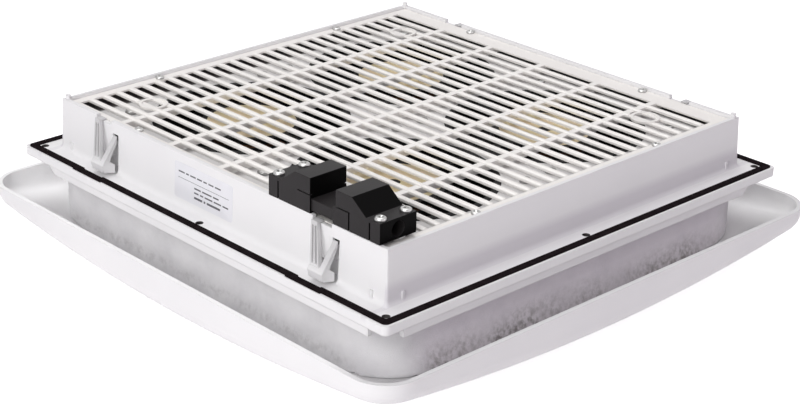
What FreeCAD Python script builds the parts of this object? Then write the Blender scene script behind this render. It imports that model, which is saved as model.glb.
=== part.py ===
"""Enclosure roof fan, lying upside down on its hood as it does on a bench. Sizes in millimetres.

The origin is the centre of the roof cut-out in the flange's sealing plane, and +Z points out of the hood,
into the enclosure. X runs along the grille's slats, and the -Y wall carries the connector.
"""
import FreeCAD
import Part
import Sketcher
import math
import os
import re

SIZES = {
    # Axial fans, which set the size of the box around them
    "fan_side": 119.0,
    "fan_gap": 7.0,
    "fan_depth": 38.0,
    "fan_corner": 4.0,
    "fan_lug": 5.0,
    "fan_hole_edge": 7.1,
    "duct_edge": 2.5,
    "duct_wall": 2.0,
    "hub_radius": 31.0,
    "hub_thick": 3.0,
    "strut_width": 6.0,
    "strut_thick": 3.0,
    "tube_radius": 8.0,
    "tube_gap": 1.5,
    "bearing_radius": 6.5,
    "bearing_width": 4.0,
    "shaft_radius": 2.5,
    "shaft_gap": 0.05,
    "seat_gap": 0.02,
    "rotor_radius": 33.0,
    "rotor_wall": 2.0,
    "rotor_cap": 2.5,
    "rotor_gap": 2.5,
    "rotor_height": 28.5,
    "rotor_boss": 5.5,
    "rotor_boss_rise": 4.0,
    "blade_count": 7,
    "blade_thick": 2.0,
    "blade_axial": 11.0,
    "blade_sweep_root": 10.0,
    "blade_sweep_tip": 17.0,
    "blade_root_sink": 1.8,
    "tip_gap": 1.2,
    "stator_gap": 3.0,
    "coil_step": 4.0,
    "stator_height": 16.0,
    "core_height": 8.0,
    "fan_screw_radius": 2.0,
    "fan_screw_slack": 0.2,
    "fan_screw_head_radius": 3.5,
    "fan_screw_head": 2.5,
    "fan_screw_length": 12.0,
    # Base moulding: box through the roof cut-out, flange over the roof sheet
    "bay_room": 6.5,
    "box_height": 31.7,
    "box_wall": 2.5,
    "box_corner": 1.2,
    "wall_draft": 2.6,
    "flange_out": 18.0,
    "flange_corner": 3.5,
    "flange_thick": 3.0,
    "skirt_drop": 2.3,
    "skirt_wall": 2.5,
    "foot_round": 3.0,
    "hole_out": 8.6,
    "hole_radius": 2.25,
    "key_inset": 10.0,
    "key_width": 2.0,
    "key_rise": 6.0,
    "key_stand": 0.8,
    "nub_radius": 1.6,
    "nub_rise": 2.4,
    "notch_width": 15.0,
    "notch_depth": 2.4,
    # Sealing gasket and its groove
    "gasket_edge": 1.8,
    "gasket_width": 4.6,
    "gasket_corner": 3.0,
    "gasket_thick": 2.2,
    "groove_depth": 1.6,
    "jog_width": 28.0,
    "jog_out": 1.0,
    # Deck that the fans hang from
    "deck_drop": 11.3,
    "deck_thick": 2.5,
    # Grille and its screws
    "rim_rise": 2.0,
    "grille_thick": 1.2,
    "grille_gap": 0.3,
    "grille_corner": 1.0,
    "slot_fields": 6,
    "slot_rows": 27,
    "slot_margin": 6.1,
    "slot_web": 4.4,
    "slot_width": 5.9,
    "row_front": 4.32,
    "row_rear": 12.62,
    "rib_depth": 3.0,
    "rib_end": 5.2,
    "ring_inset": 37.0,
    "ring_radius": 9.0,
    "ring_wall": 2.0,
    "ring_rise": 0.5,
    "pad_radius": 2.9,
    "screw_along": 75.0,
    "screw_inset": 3.3,
    "screw_head_radius": 2.8,
    "screw_head": 1.7,
    "screw_radius": 1.5,
    "screw_length": 6.0,
    "boss_radius": 3.6,
    # Hood
    "hood_out": 18.8,
    "hood_corner": 22.0,
    "hood_wall": 3.0,
    "hood_draft": 2.0,
    "hood_rim": 23.4,
    "hood_depth": 35.3,
    "dome_radius": 1300.0,
    "dome_dip": 1.5,
    "hood_round": 10.0,
    "post_gap": 0.5,
    "post_radius": 6.0,
    "post_top": 16.0,
    "pin_radius": 4.0,
    "pin_rise": 18.0,
    "pin_gap": 0.1,
    "socket_radius": 6.5,
    "part_gap": 0.3,
    # Filter mat, a strip bent round into a ring, and the rails outside it
    "mat_inset": 10.0,
    "mat_thick": 13.0,
    "mat_corner": 30.0,
    "rail_height": 8.6,
    "rail_thick": 3.0,
    "rail_inset": 15.6,
    "rail_short_inset": 24.3,
    "rail_cut": 4.0,
    # Connector
    "plug_inset": 50.3,
    "plug_width": 26.0,
    "plug_half": 44.0,
    "plug_slope": 33.5,
    "plug_top": 22.5,
    "plug_inner": 10.2,
    "plug_high": 20.3,
    "plug_low": 12.2,
    "bar_height": 8.2,
    "bar_lift": 1.5,
    "bar_inset": 1.0,
    "socket_foot_width": 16.0,
    "flap_length": 10.0,
    "flap_height": 10.0,
    "flap_thick": 1.2,
    "seam": 0.7,
    "slit_width": 1.0,
    "slit_height": 10.5,
    "slit_inset": 7.8,
    "cable_radius": 4.5,
    "cable_depth": 12.0,
    "contact_count": 3,
    "contact_step": 6.0,
    "contact_radius": 1.9,
    "contact_length": 12.0,
    "contact_pin": 1.2,
    "contact_slack": 0.1,
    "clamp_inset": 4.0,
    "clamp_head_radius": 3.3,
    "clamp_head": 2.0,
    "clamp_screw_length": 7.0,
    # Snap clips that hold the roof sheet against the gasket, and the pockets they bend into
    "clip_inset": 47.0,
    "clip_gap": 0.5,
    "clip_left": 2.0,
    "clip_right": 9.8,
    "clip_apex": 7.2,
    "clip_apex_width": 4.6,
    "clip_leg_foot": 7.0,
    "clip_root_drop": 1.1,
    "clip_root_thick": 2.0,
    "clip_hook": 1.0,
    "clip_hook_reach": 2.2,
    "clip_leaf": 2.9,
    "clip_strut": 3.8,
    "clip_strut_top": 23.6,
    "clip_strut_thick": 3.4,
    "clip_ledge": 9.5,
    "clip_ledge_out": 10.5,
    "clip_nose_out": 12.0,
    "clip_nose_rise": 7.4,
    "clip_tip_out": 11.0,
    "clip_tip_rise": 2.9,
    "clip_heel_out": 3.0,
    "clip_heel_rise": 1.3,
    "clip_heel_height": 5.0,
    "clip_slot_drop": 2.2,
    "clip_slot_foot": 10.6,
    "window_rise": 10.5,
    "window_slack": 0.8,
    "window_reach": 6.0,
    "pocket_depth": 5.4,
    "pocket_wall": 1.2,
}

# Sizes that follow from the ones above, as formulas in the same sheet
DERIVED = {
    "fan_pitch": "fan_side + fan_gap",
    "fan_hole_pitch": "fan_side - 2 * fan_hole_edge",
    "fan_hole_radius": "fan_screw_radius + fan_screw_slack",
    "duct_radius": "fan_side / 2 - duct_edge",
    "stator_radius": "rotor_radius - rotor_wall - stator_gap",
    "coil_radius": "stator_radius - coil_step",
    "tube_length": "rotor_gap + rotor_height - rotor_cap - rotor_boss_rise - tube_gap",
    "post_place": "fan_side + fan_gap / 2 + post_gap + socket_radius",
    "bay_side": "2 * (post_place + socket_radius + bay_room)",
    "box_side": "bay_side + 2 * box_wall",
    "deck_level": "box_height - deck_drop",
    "flange_side": "box_side + 2 * flange_out",
    "hole_pitch": "box_side + 2 * hole_out",
    "key_place": "box_side / 2 - key_inset",
    "gasket_side": "flange_side - 2 * gasket_edge",
    "plate_side": "bay_side - 2 * grille_gap",
    "slot_step": "(plate_side - 2 * slot_margin + slot_web) / slot_fields",
    "slot_length": "slot_step - slot_web",
    "row_step": "(plate_side - row_front - row_rear - slot_width) / (slot_rows - 1)",
    "ring_place": "bay_side / 2 - ring_inset",
    "screw_edge": "bay_side / 2 - screw_inset",
    "hood_side": "flange_side + 2 * hood_out",
    "dome_drop": "hood_depth + dome_dip",
    "mat_side": "flange_side - 2 * mat_inset",
    "rail_long": "flange_side / 2 - rail_inset",
    "rail_short": "flange_side / 2 - rail_short_inset",
    "plug_centre": "box_side / 2 - plug_inset",
    "cable_rise": "plug_low / 2",
    "contact_rise": "(bar_lift + bar_height) / 2",
    "clamp_screw_along": "plug_half - clamp_inset",
    "clamp_screw_across": "plug_width / 2 - clamp_inset",
    "clip_place": "box_side / 2 - clip_inset",
    "clip_root": "box_height - clip_root_drop",
    "clip_slot_top": "clip_root - clip_slot_drop",
    "window_top": "clip_strut_top + window_slack",
}

doc = FreeCAD.newDocument("roof_fan")
sheet = doc.addObject("Spreadsheet::Sheet", "Sizes")
cells = {alias: str(value) for alias, value in SIZES.items()}
cells.update({alias: f"={rule}" for alias, rule in DERIVED.items()})
for sheet_row, (alias, content) in enumerate(cells.items(), start=1):
    sheet.set(f"A{sheet_row}", alias)
    sheet.set(f"B{sheet_row}", content)
    sheet.setAlias(f"B{sheet_row}", alias)
doc.recompute()

SIGNS = (-1, 1)
QUADRANTS = ((1, -1), (1, 1), (-1, 1), (-1, -1))
SUB_PARTS = []

# Planes that a profile can be drawn on, as rotations of the XY plane
PLANES = {
    "XZ": FreeCAD.Rotation(FreeCAD.Vector(1, 0, 0), 90),
    "YZ": FreeCAD.Rotation(FreeCAD.Vector(1, 1, 1), 120),
}


def prefixed(found):
    word = found.group(0)
    return f"Sizes.{word}" if word in cells else word


def formula(text):
    """Formula of plain aliases, with the sheet's name put before each of them."""
    return re.sub(r"[a-z][a-z_]*", prefixed, str(text))


def number(text):
    """What a formula of aliases comes to."""
    return float(sheet.evalExpression(formula(text)))


def bind(item, field, text):
    item.setExpression(field, formula(text))


def place(item, x="0", y="0", z="0"):
    """Tie an object's position to three formulas."""
    for axis, text in zip("xyz", (x, y, z)):
        bind(item, f"Placement.Base.{axis}", text)
    return item


def keep(item, label):
    """List an object as a sub-part under its own label."""
    item.Label = label
    SUB_PARTS.append(item)
    return item


def block(name, length, width, height, x="0", y="0", z="0"):
    """Box centred on x and y, standing on z."""
    item = doc.addObject("Part::Box", name)
    bind(item, "Length", length)
    bind(item, "Width", width)
    bind(item, "Height", height)
    return place(item, f"{x} - ({length}) / 2", f"{y} - ({width}) / 2", z)


def rod(name, radius, height, x="0", y="0", z="0", turn=None):
    """Cylinder along Z, or turned to another axis."""
    item = doc.addObject("Part::Cylinder", name)
    bind(item, "Radius", radius)
    bind(item, "Height", height)
    if turn:
        item.Placement.Rotation = turn
    return place(item, x, y, z)


ALONG_X = FreeCAD.Rotation(FreeCAD.Vector(0, 1, 0), 90)


def ball(name, radius, z):
    item = doc.addObject("Part::Sphere", name)
    bind(item, "Radius", radius)
    return place(item, z=z)


def fuse(name, items):
    item = doc.addObject("Part::MultiFuse", name)
    item.Shapes = items
    item.Refine = True
    return item


def cut(name, base, tools):
    """Take one tool, or the union of several, away from a base."""
    item = doc.addObject("Part::Cut", name)
    item.Base = base
    item.Tool = tools[0] if len(tools) == 1 else fuse(f"{name}_tools", tools)
    item.Refine = True
    return item


def common(name, base, tool):
    item = doc.addObject("Part::Common", name)
    item.Base = base
    item.Tool = tool
    return item


def group(name, items):
    """Separate solids of identical pieces, kept as one node."""
    item = doc.addObject("Part::Compound", name)
    item.Links = items
    return item


def extrude(name, sketch, length, taper=None, middle=False, down=False):
    item = doc.addObject("Part::Extrusion", name)
    item.Base = sketch
    item.DirMode = "Normal"
    item.Solid = True
    item.Symmetric = middle
    item.Reversed = down
    bind(item, "LengthFwd", length)
    if taper:
        bind(item, "TaperAngle", taper)
    return item


def rounded_square(name, side, corner, z, owner=None):
    """Sketch of a square about the origin with round corners."""
    half = number(f"({side}) / 2")
    bend = number(corner)
    flat = half - bend
    sketch = new_sketch(name, owner)
    ends = ((-flat, -half, flat, -half), (half, -flat, half, flat))
    ends += tuple(tuple(-value for value in end) for end in ends)
    for x1, y1, x2, y2 in ends:
        sketch.addGeometry(Part.LineSegment(FreeCAD.Vector(x1, y1, 0), FreeCAD.Vector(x2, y2, 0)))
    for quarter, (sx, sy) in enumerate(QUADRANTS):
        circle = Part.Circle(FreeCAD.Vector(sx * flat, sy * flat, 0), FreeCAD.Vector(0, 0, 1), bend)
        start = math.radians(90 * quarter - 90)
        sketch.addGeometry(Part.ArcOfCircle(circle, start, start + math.pi / 2))
    for line in range(4):
        arc = line + 4
        sketch.addConstraint(Sketcher.Constraint("Tangent", line, 2, arc, 1))
        sketch.addConstraint(Sketcher.Constraint("Tangent", arc, 2, (line + 1) % 4, 1))
        sketch.addConstraint(Sketcher.Constraint("Vertical" if line % 2 else "Horizontal", line))
        if line:
            sketch.addConstraint(Sketcher.Constraint("Equal", 4, arc))
    sketch.addConstraint(Sketcher.Constraint("Symmetric", 4, 3, 6, 3, -1, 1))
    named = {
        "corner": (Sketcher.Constraint("Radius", 4, bend), corner),
        "wide": (Sketcher.Constraint("DistanceX", 3, 1, 1, 1, 2 * half), side),
        "deep": (Sketcher.Constraint("DistanceY", 0, 1, 2, 1, 2 * half), side),
    }
    for label, (constraint, text) in named.items():
        sketch.renameConstraint(sketch.addConstraint(constraint), label)
        bind(sketch, f"Constraints.{label}", text)
    return sketch if owner else place(sketch, z=z)


def new_sketch(name, owner=None):
    if owner:
        return owner.newObject("Sketcher::SketchObject", name)
    return doc.addObject("Sketcher::SketchObject", name)


def outline(name, points, owner=None):
    """Sketch of a closed outline of straight edges whose corners are formulas."""
    sketch = new_sketch(name, owner)
    corners = [FreeCAD.Vector(number(x), number(y), 0) for x, y in points]
    for start, end in zip(corners, corners[1:] + corners[:1]):
        sketch.addGeometry(Part.LineSegment(start, end))
    for edge, (x, y) in enumerate(points):
        following = (edge + 1) % len(points)
        sketch.addConstraint(Sketcher.Constraint("Coincident", edge, 2, following, 1))
        for kind, text in (("DistanceX", x), ("DistanceY", y)):
            index = sketch.addConstraint(Sketcher.Constraint(kind, -1, 1, edge, 1, number(text)))
            bind(sketch, f"Constraints[{index}]", text)
    return sketch


def profile(name, plane, points, length):
    """Solid with a straight-edged outline on a plane through the origin, equally deep on both sides."""
    sketch = outline(f"{name}_outline", points)
    sketch.Placement.Rotation = PLANES[plane]
    return extrude(name, sketch, length, middle=True)


def prism(name, side, corner, height, z, taper=None, down=False):
    """Upright solid with a round-cornered square outline."""
    sketch = rounded_square(f"{name}_outline", side, corner, z)
    return extrude(name, sketch, height, taper=taper, down=down)


def origin_part(body, role):
    """Plane or axis of a body's own origin."""
    return next(item for item in body.Origin.OriginFeatures if item.Role == role)


def on_plane(sketch, body, role, offset="0"):
    """Attach a sketch to one of its own body's origin planes."""
    sketch.AttachmentSupport = [(origin_part(body, role), "")]
    sketch.MapMode = "FlatFace"
    bind(sketch, "AttachmentOffset.Base.z", offset)
    return sketch


def rounded_edges(name, base, radius, wanted):
    """Round every edge of a base that the test wants."""
    doc.recompute()
    item = doc.addObject("Part::Fillet", name)
    item.Base = base
    item.Edges = [
        (index, number(radius), number(radius))
        for index, edge in enumerate(base.Shape.Edges, start=1)
        if wanted(edge)
    ]
    return item


# Levels and half sizes that several pieces share
WALL = "(box_side / 2)"
FOOT_SIDE = "(box_side + 2 * box_height * tan(wall_draft))"
GRILLE_TOP = "(box_height - rim_rise)"
GRILLE_UNDER = "(box_height - rim_rise - grille_thick)"
DECK_TOP = "(deck_level + deck_thick)"
FLANGE_UNDER = "(0 - flange_thick)"
GASKET_BOTTOM = "(0 - groove_depth)"
HUB_UNDER = "(deck_level - hub_thick)"
FAN_BOTTOM = "(deck_level - fan_depth)"
ROTOR_TOP = "(deck_level - hub_thick - rotor_gap)"
ROTOR_BOTTOM = "(deck_level - hub_thick - rotor_gap - rotor_height)"
TUBE_BOTTOM = "(deck_level - hub_thick - tube_length)"
HOOD_FLOOR = "(0 - hood_rim - hood_depth)"
DOME_CENTRE = "(dome_radius - hood_rim - dome_drop)"
TIP_RADIUS = "(duct_radius - tip_gap)"
CONNECTOR_Y = "(plug_width / 2 - box_side / 2)"


def gasket_ring(name, thick, z):
    """Square ring that steps outwards round each snap clip."""
    outer = [prism(f"{name}_outer", "gasket_side", "gasket_corner", thick, z)]
    deep, below = f"{thick} + 2", f"{z} - 1"
    inner = [prism(f"{name}_inner", "(gasket_side - 2 * gasket_width)", "(gasket_corner / 2)", deep, below)]
    recess = "jog_width - 2 * gasket_width"
    step = "gasket_width + jog_out"
    for index, (sx, sy) in enumerate(QUADRANTS):
        x = f"{sx} * clip_place"
        step_y = f"{sy} * (gasket_side / 2 - gasket_width / 2 + jog_out / 2)"
        recess_y = f"{sy} * (gasket_side / 2 - gasket_width)"
        outer.append(block(f"{name}_step_{index}", "jog_width", step, thick, x, step_y, z))
        inner.append(block(f"{name}_recess_{index}", recess, "2 * jog_out", deep, x, recess_y, below))
    return cut(name, fuse(f"{name}_blank", outer), inner)


def hole_places():
    """Fixing holes in the flange: one at each corner and one in the middle of each side."""
    steps = [(x, y) for x in (-1, 0, 1) for y in (-1, 0, 1) if x or y]
    return [(f"{x} * hole_pitch / 2", f"{y} * hole_pitch / 2") for x, y in steps]


def grille_screw_places():
    places = []
    for along in SIGNS:
        for edge in SIGNS:
            places.append((f"{along} * screw_along", f"{edge} * screw_edge"))
            places.append((f"{edge} * screw_edge", f"{along} * screw_along"))
    return places


def post_places():
    return [(f"{sx} * post_place", f"{sy} * post_place") for sx, sy in QUADRANTS]


def fan_places():
    return [(f"{sx} * fan_pitch / 2", f"{sy} * fan_pitch / 2") for sx, sy in QUADRANTS]


def fan_screw_places():
    places = []
    for x, y in fan_places():
        for sx, sy in QUADRANTS:
            places.append((f"{x} + {sx} * fan_hole_pitch / 2", f"{y} + {sy} * fan_hole_pitch / 2"))
    return places


def at_wall_foot(edge):
    """True for the edges where the outside of the walls meets the flange."""
    half = number(f"{FOOT_SIDE} / 2")
    spots = [vertex.Point for vertex in edge.Vertexes]
    return all(abs(p.z) < 1e-6 and abs(max(abs(p.x), abs(p.y)) - half) < 1e-3 for p in spots)


def base_shell():
    """Flange with a short skirt, and the drafted walls standing on it."""
    plate = prism("flange_plate", "flange_side", "flange_corner", "flange_thick", FLANGE_UNDER)
    walls = prism("walls", FOOT_SIDE, "box_corner", "box_height", "0", taper="0 - wall_draft")
    footed = rounded_edges("base_footed", fuse("base_blank", [plate, walls]), "foot_round", at_wall_foot)
    bay = prism("fan_bay", "bay_side", "box_corner / 2", "2 * box_height", "0 - box_height / 2")
    foot = f"{FLANGE_UNDER} - skirt_drop"
    skirt = prism("skirt", "flange_side", "flange_corner", "skirt_drop", foot)
    inside = prism("skirt_inside", "flange_side - 2 * skirt_wall", "flange_corner / 2", "skirt_drop", foot)
    return [cut("base_walls", footed, [bay]), cut("skirt_ring", skirt, [inside])]


def deck_features():
    """Deck that the fans hang from, with bosses for the grille above it and sockets for the hood below."""
    solids = [prism("deck", "bay_side + box_wall", "box_corner", "deck_thick", "deck_level")]
    holes = []
    under, through = "deck_level - 1", "deck_thick + 2"
    for index, (x, y) in enumerate(grille_screw_places()):
        solids.append(rod(f"boss_{index}", "boss_radius", f"{GRILLE_UNDER} - {DECK_TOP}", x, y, DECK_TOP))
        holes.append(rod(f"boss_hole_{index}", "screw_radius + seat_gap", "box_height", x, y, under))
    for index, (x, y) in enumerate(fan_places()):
        holes.append(rod(f"fan_opening_{index}", "duct_radius", through, x, y, under))
    for index, (x, y) in enumerate(fan_screw_places()):
        holes.append(rod(f"fan_fixing_{index}", "fan_hole_radius", through, x, y, under))
    bottom = "(part_gap - post_top)"
    below = f"{bottom} - 1"
    for index, (x, y) in enumerate(post_places()):
        solids.append(rod(f"hood_socket_{index}", "socket_radius", f"deck_level - {bottom}", x, y, bottom))
        holes.append(rod(f"socket_bore_{index}", "pin_radius + pin_gap", "pin_rise + 2", x, y, below))
    return solids, holes


def clip_pocket(index, sx, sy):
    """Closed pockets in the wall that a snap clip bends into, and the notch in the rim for its hook."""
    x = f"{sx} * clip_place"
    rows = {
        "low": ("clip_left + clip_right", f"{x} - {sy} * (clip_right - clip_left) / 2", "window_rise"),
        "high": ("clip_strut", f"{x} - {sy} * (clip_right - clip_strut / 2)", "window_top"),
    }
    solids = []
    holes = []
    for row, (width, middle, top) in rows.items():
        room = f"({width} + 2 * window_slack)"
        wide, deep = f"{room} + 2 * pocket_wall", "pocket_depth + pocket_wall - box_wall / 2"
        high = f"{top} + pocket_wall + flange_thick"
        case_y = f"{sy} * ({WALL} - (pocket_depth + pocket_wall + box_wall / 2) / 2)"
        solids.append(block(f"{row}_case_{index}", wide, deep, high, middle, case_y, FLANGE_UNDER))
        reach, depth = "pocket_depth + window_reach", f"{sy} * ({WALL} + (window_reach - pocket_depth) / 2)"
        holes.append(block(f"{row}_window_{index}", room, reach, top, middle, depth))
    notch_x, notch_z = f"{x} + {sy} * clip_apex / 2", "box_height - notch_depth"
    notch_size = ("notch_width", "4 * box_wall", "2 * notch_depth")
    holes.append(block(f"notch_{index}", *notch_size, notch_x, f"{sy} * {WALL}", notch_z))
    return solids, holes


def wall_features():
    """Nubs on the rim, keys at the foot of the walls, and the pockets behind the snap clips."""
    solids = []
    holes = []
    corner = f"({WALL} - box_wall)"
    for index, (sx, sy) in enumerate(QUADRANTS[1:]):
        x, y = f"{sx} * {corner}", f"{sy} * {corner}"
        rise = "nub_rise + rim_rise - part_gap"
        solids.append(rod(f"nub_{index}", "nub_radius", rise, x, y, f"{GRILLE_TOP} + part_gap"))
    stand = "(2 * (key_stand + box_height * tan(wall_draft)))"
    for index, (sx, sy) in enumerate(QUADRANTS):
        along_x, along_y = f"{sx} * key_place", f"{sy} * key_place"
        solids.append(block(f"front_key_{index}", "key_width", stand, "key_rise", along_x, f"{sy} * {WALL}"))
        solids.append(block(f"side_key_{index}", stand, "key_width", "key_rise", f"{sx} * {WALL}", along_y))
        pocket_solids, pocket_holes = clip_pocket(index, sx, sy)
        solids += pocket_solids
        holes += pocket_holes
    return solids, holes


def base_frame():
    """Flange, walls and fan deck, in one moulding."""
    deck_solids, deck_holes = deck_features()
    wall_solids, wall_holes = wall_features()
    holes = [gasket_ring("gasket_groove", "groove_depth + 1", GASKET_BOTTOM)] + deck_holes + wall_holes
    below = "0 - 2 * flange_thick"
    for index, (x, y) in enumerate(hole_places()):
        holes.append(rod(f"fixing_hole_{index}", "hole_radius", "4 * flange_thick", x, y, below))
    blank = fuse("base_solids", base_shell() + deck_solids + wall_solids)
    keep(cut("base_frame", blank, holes), "base_frame")


def gasket():
    keep(gasket_ring("gasket", "gasket_thick", GASKET_BOTTOM), "gasket")


GRILLE_SCREW = ("screw_head_radius", "screw_head", "screw_radius", "screw_length")
FAN_SCREW = ("fan_screw_head_radius", "fan_screw_head", "fan_screw_radius", "fan_screw_length")
CLAMP_SCREW = ("clamp_head_radius", "clamp_head", "screw_radius", "clamp_screw_length")


def screw_set(name, kind, places, z):
    """Pan-head screws of one kind. Heads stand on z and shanks hang below it."""
    head_radius, head, radius, length = kind
    items = []
    for index, (x, y) in enumerate(places):
        top = rod(f"{name}_head_{index}", head_radius, head, x, y, z)
        shank = rod(f"{name}_shank_{index}", radius, length, x, y, f"{z} - {length}")
        items.append(fuse(f"{name}_{index}", [top, shank]))
    keep(group(name, items), name)


def screws():
    screw_set("grille_screws", GRILLE_SCREW, grille_screw_places(), GRILLE_TOP)
    screw_set("fan_screws", FAN_SCREW, fan_screw_places(), DECK_TOP)


def pattern_row(body, name, direction, count, step):
    row = body.newObject("PartDesign::LinearPattern", name)
    row.Direction = direction
    bind(row, "Length", f"({count} - 1) * {step}")
    bind(row, "Occurrences", count)
    return row


def slotted_plate():
    """Plate with rows of slots, drawn once and repeated both ways."""
    body = doc.addObject("PartDesign::Body", "slotted_plate")
    edge = rounded_square("grille_edge", "plate_side", "grille_corner", "0", body)
    on_plane(edge, body, "XY_Plane", GRILLE_UNDER)
    pad = body.newObject("PartDesign::Pad", "grille_pad")
    pad.Profile = edge
    bind(pad, "Length", "grille_thick")
    left = "(0 - (slot_fields - 1) * slot_step / 2)"
    low = "(row_front + slot_width / 2 - plate_side / 2)"
    half_length, half_width = "slot_length / 2", "slot_width / 2"
    corners = [(f"{left} + {sx} * {half_length}", f"{low} + {sy} * {half_width}") for sx, sy in QUADRANTS]
    first = on_plane(outline("first_slot", corners, body), body, "XY_Plane", GRILLE_TOP)
    pocket = body.newObject("PartDesign::Pocket", "slot")
    pocket.Profile = first
    pocket.Type = "ThroughAll"
    doc.recompute()
    repeat = body.newObject("PartDesign::MultiTransform", "slots")
    repeat.Originals = [pocket]
    repeat.Transformations = [
        pattern_row(body, "fields", (first, ["H_Axis"]), "slot_fields", "slot_step"),
        pattern_row(body, "rows", (first, ["V_Axis"]), "slot_rows", "row_step"),
    ]
    body.Tip = repeat
    return body


def grille():
    """Slotted plate, with a deeper rib under each web between its fields."""
    solids = [slotted_plate()]
    holes = []
    rib_z, rib_height = f"({GRILLE_UNDER} - rib_depth)", "rib_depth + grille_thick / 2"
    for index in range(1, SIZES["slot_fields"]):
        x, rib_length = f"({index} - slot_fields / 2) * slot_step", "plate_side - 2 * rib_end"
        solids.append(block(f"rib_{index}", "slot_web", rib_length, rib_height, x, z=rib_z))
    for index, (sx, sy) in enumerate(QUADRANTS):
        x, y = f"{sx} * ring_place", f"{sy} * ring_place"
        outer = rod(f"ring_outer_{index}", "ring_radius", "grille_thick + ring_rise", x, y, GRILLE_UNDER)
        inner = rod(f"ring_inner_{index}", "ring_radius - ring_wall", "2 * box_height", x, y, "0")
        solids.append(cut(f"ring_{index}", outer, [inner]))
    for index, (x, y) in enumerate(grille_screw_places()):
        solids.append(rod(f"screw_pad_{index}", "pad_radius", "grille_thick", x, y, GRILLE_UNDER))
        holes.append(rod(f"screw_hole_{index}", "screw_radius + seat_gap", "box_height", x, y, "deck_level"))
    keep(cut("grille", fuse("grille_blank", solids), holes), "grille")


def fan_frame(index, x, y):
    """Square housing with a round duct, and the struts and hub that carry the motor."""
    name = f"fan_frame_{index}"
    lug_z = ("deck_level - fan_lug", FAN_BOTTOM)
    lugs = [prism(f"{name}_lug_{i}", "fan_side", "fan_corner", "fan_lug", z) for i, z in enumerate(lug_z)]
    barrel = rod(f"{name}_barrel", "duct_radius + duct_wall", "fan_depth", z=FAN_BOTTOM)
    through, below = "fan_depth + 2", f"{FAN_BOTTOM} - 1"
    holes = [rod(f"{name}_duct", "duct_radius", through, z=below)]
    for corner, (sx, sy) in enumerate(QUADRANTS):
        hole_x, hole_y = f"{sx} * fan_hole_pitch / 2", f"{sy} * fan_hole_pitch / 2"
        holes.append(rod(f"{name}_hole_{corner}", "fan_hole_radius", through, hole_x, hole_y, below))
    shell = cut(f"{name}_shell", fuse(f"{name}_blank", lugs + [barrel]), holes)
    span = "(2 * duct_radius + duct_wall)"
    strut_z = "deck_level - strut_thick"
    motor = [
        block(f"{name}_strut_x", span, "strut_width", "strut_thick", z=strut_z),
        block(f"{name}_strut_y", "strut_width", span, "strut_thick", z=strut_z),
        rod(f"{name}_hub", "hub_radius", "hub_thick", z=HUB_UNDER),
        rod(f"{name}_tube", "tube_radius", "tube_length", z=TUBE_BOTTOM),
    ]
    bore = rod(f"{name}_bore", "bearing_radius + seat_gap", "tube_length + 1", z=f"{TUBE_BOTTOM} - 1")
    frame = cut(name, fuse(f"{name}_solids", [shell] + motor), [bore])
    keep(place(frame, x, y), name)


def bearings(index, x, y):
    """Pair of bearings, one at each end of the hub's tube."""
    name = f"fan_bearings_{index}"
    pair = []
    for index, z in enumerate((TUBE_BOTTOM, f"{HUB_UNDER} - 1 - bearing_width")):
        outer = rod(f"{name}_outer_{index}", "bearing_radius", "bearing_width", z=z)
        hole = rod(f"{name}_hole_{index}", "shaft_radius + shaft_gap", "bearing_width", z=z)
        pair.append(cut(f"{name}_ring_{index}", outer, [hole]))
    keep(place(group(name, pair), x, y), name)


def stator(index, x, y):
    """Winding and core round the hub's tube."""
    name = f"fan_stator_{index}"
    middle = f"({TUBE_BOTTOM} + tube_length / 2)"
    coil = rod(f"{name}_coil", "coil_radius", "stator_height", z=f"{middle} - stator_height / 2")
    core = rod(f"{name}_core", "stator_radius", "core_height", z=f"{middle} - core_height / 2")
    hole = rod(f"{name}_hole", "tube_radius + seat_gap", "fan_depth", z=FAN_BOTTOM)
    keep(place(cut(name, fuse(f"{name}_blank", [coil, core]), [hole]), x, y), name)


def blade_section(name, body, sweep, radius):
    """Thin slanted section of a blade, on a plane at a distance from the shaft."""
    middle = f"(({ROTOR_TOP} + {ROTOR_BOTTOM}) / 2)"
    corners = [
        (f"0 - {sweep}", f"{middle} - blade_axial - blade_thick / 2"),
        (f"{sweep}", f"{middle} + blade_axial - blade_thick / 2"),
        (f"{sweep}", f"{middle} + blade_axial + blade_thick / 2"),
        (f"0 - {sweep}", f"{middle} - blade_axial + blade_thick / 2"),
    ]
    return on_plane(outline(name, corners, body), body, "XZ_Plane", f"0 - ({radius})")


def turned(body, kind, name, corners):
    """Feature that turns a half section about the shaft."""
    section = on_plane(outline(f"{name}_section", corners, body), body, "XZ_Plane")
    feature = body.newObject(kind, name)
    feature.Profile = section
    feature.ReferenceAxis = (section, ["V_Axis"])
    feature.Angle = 360
    return feature


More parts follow.
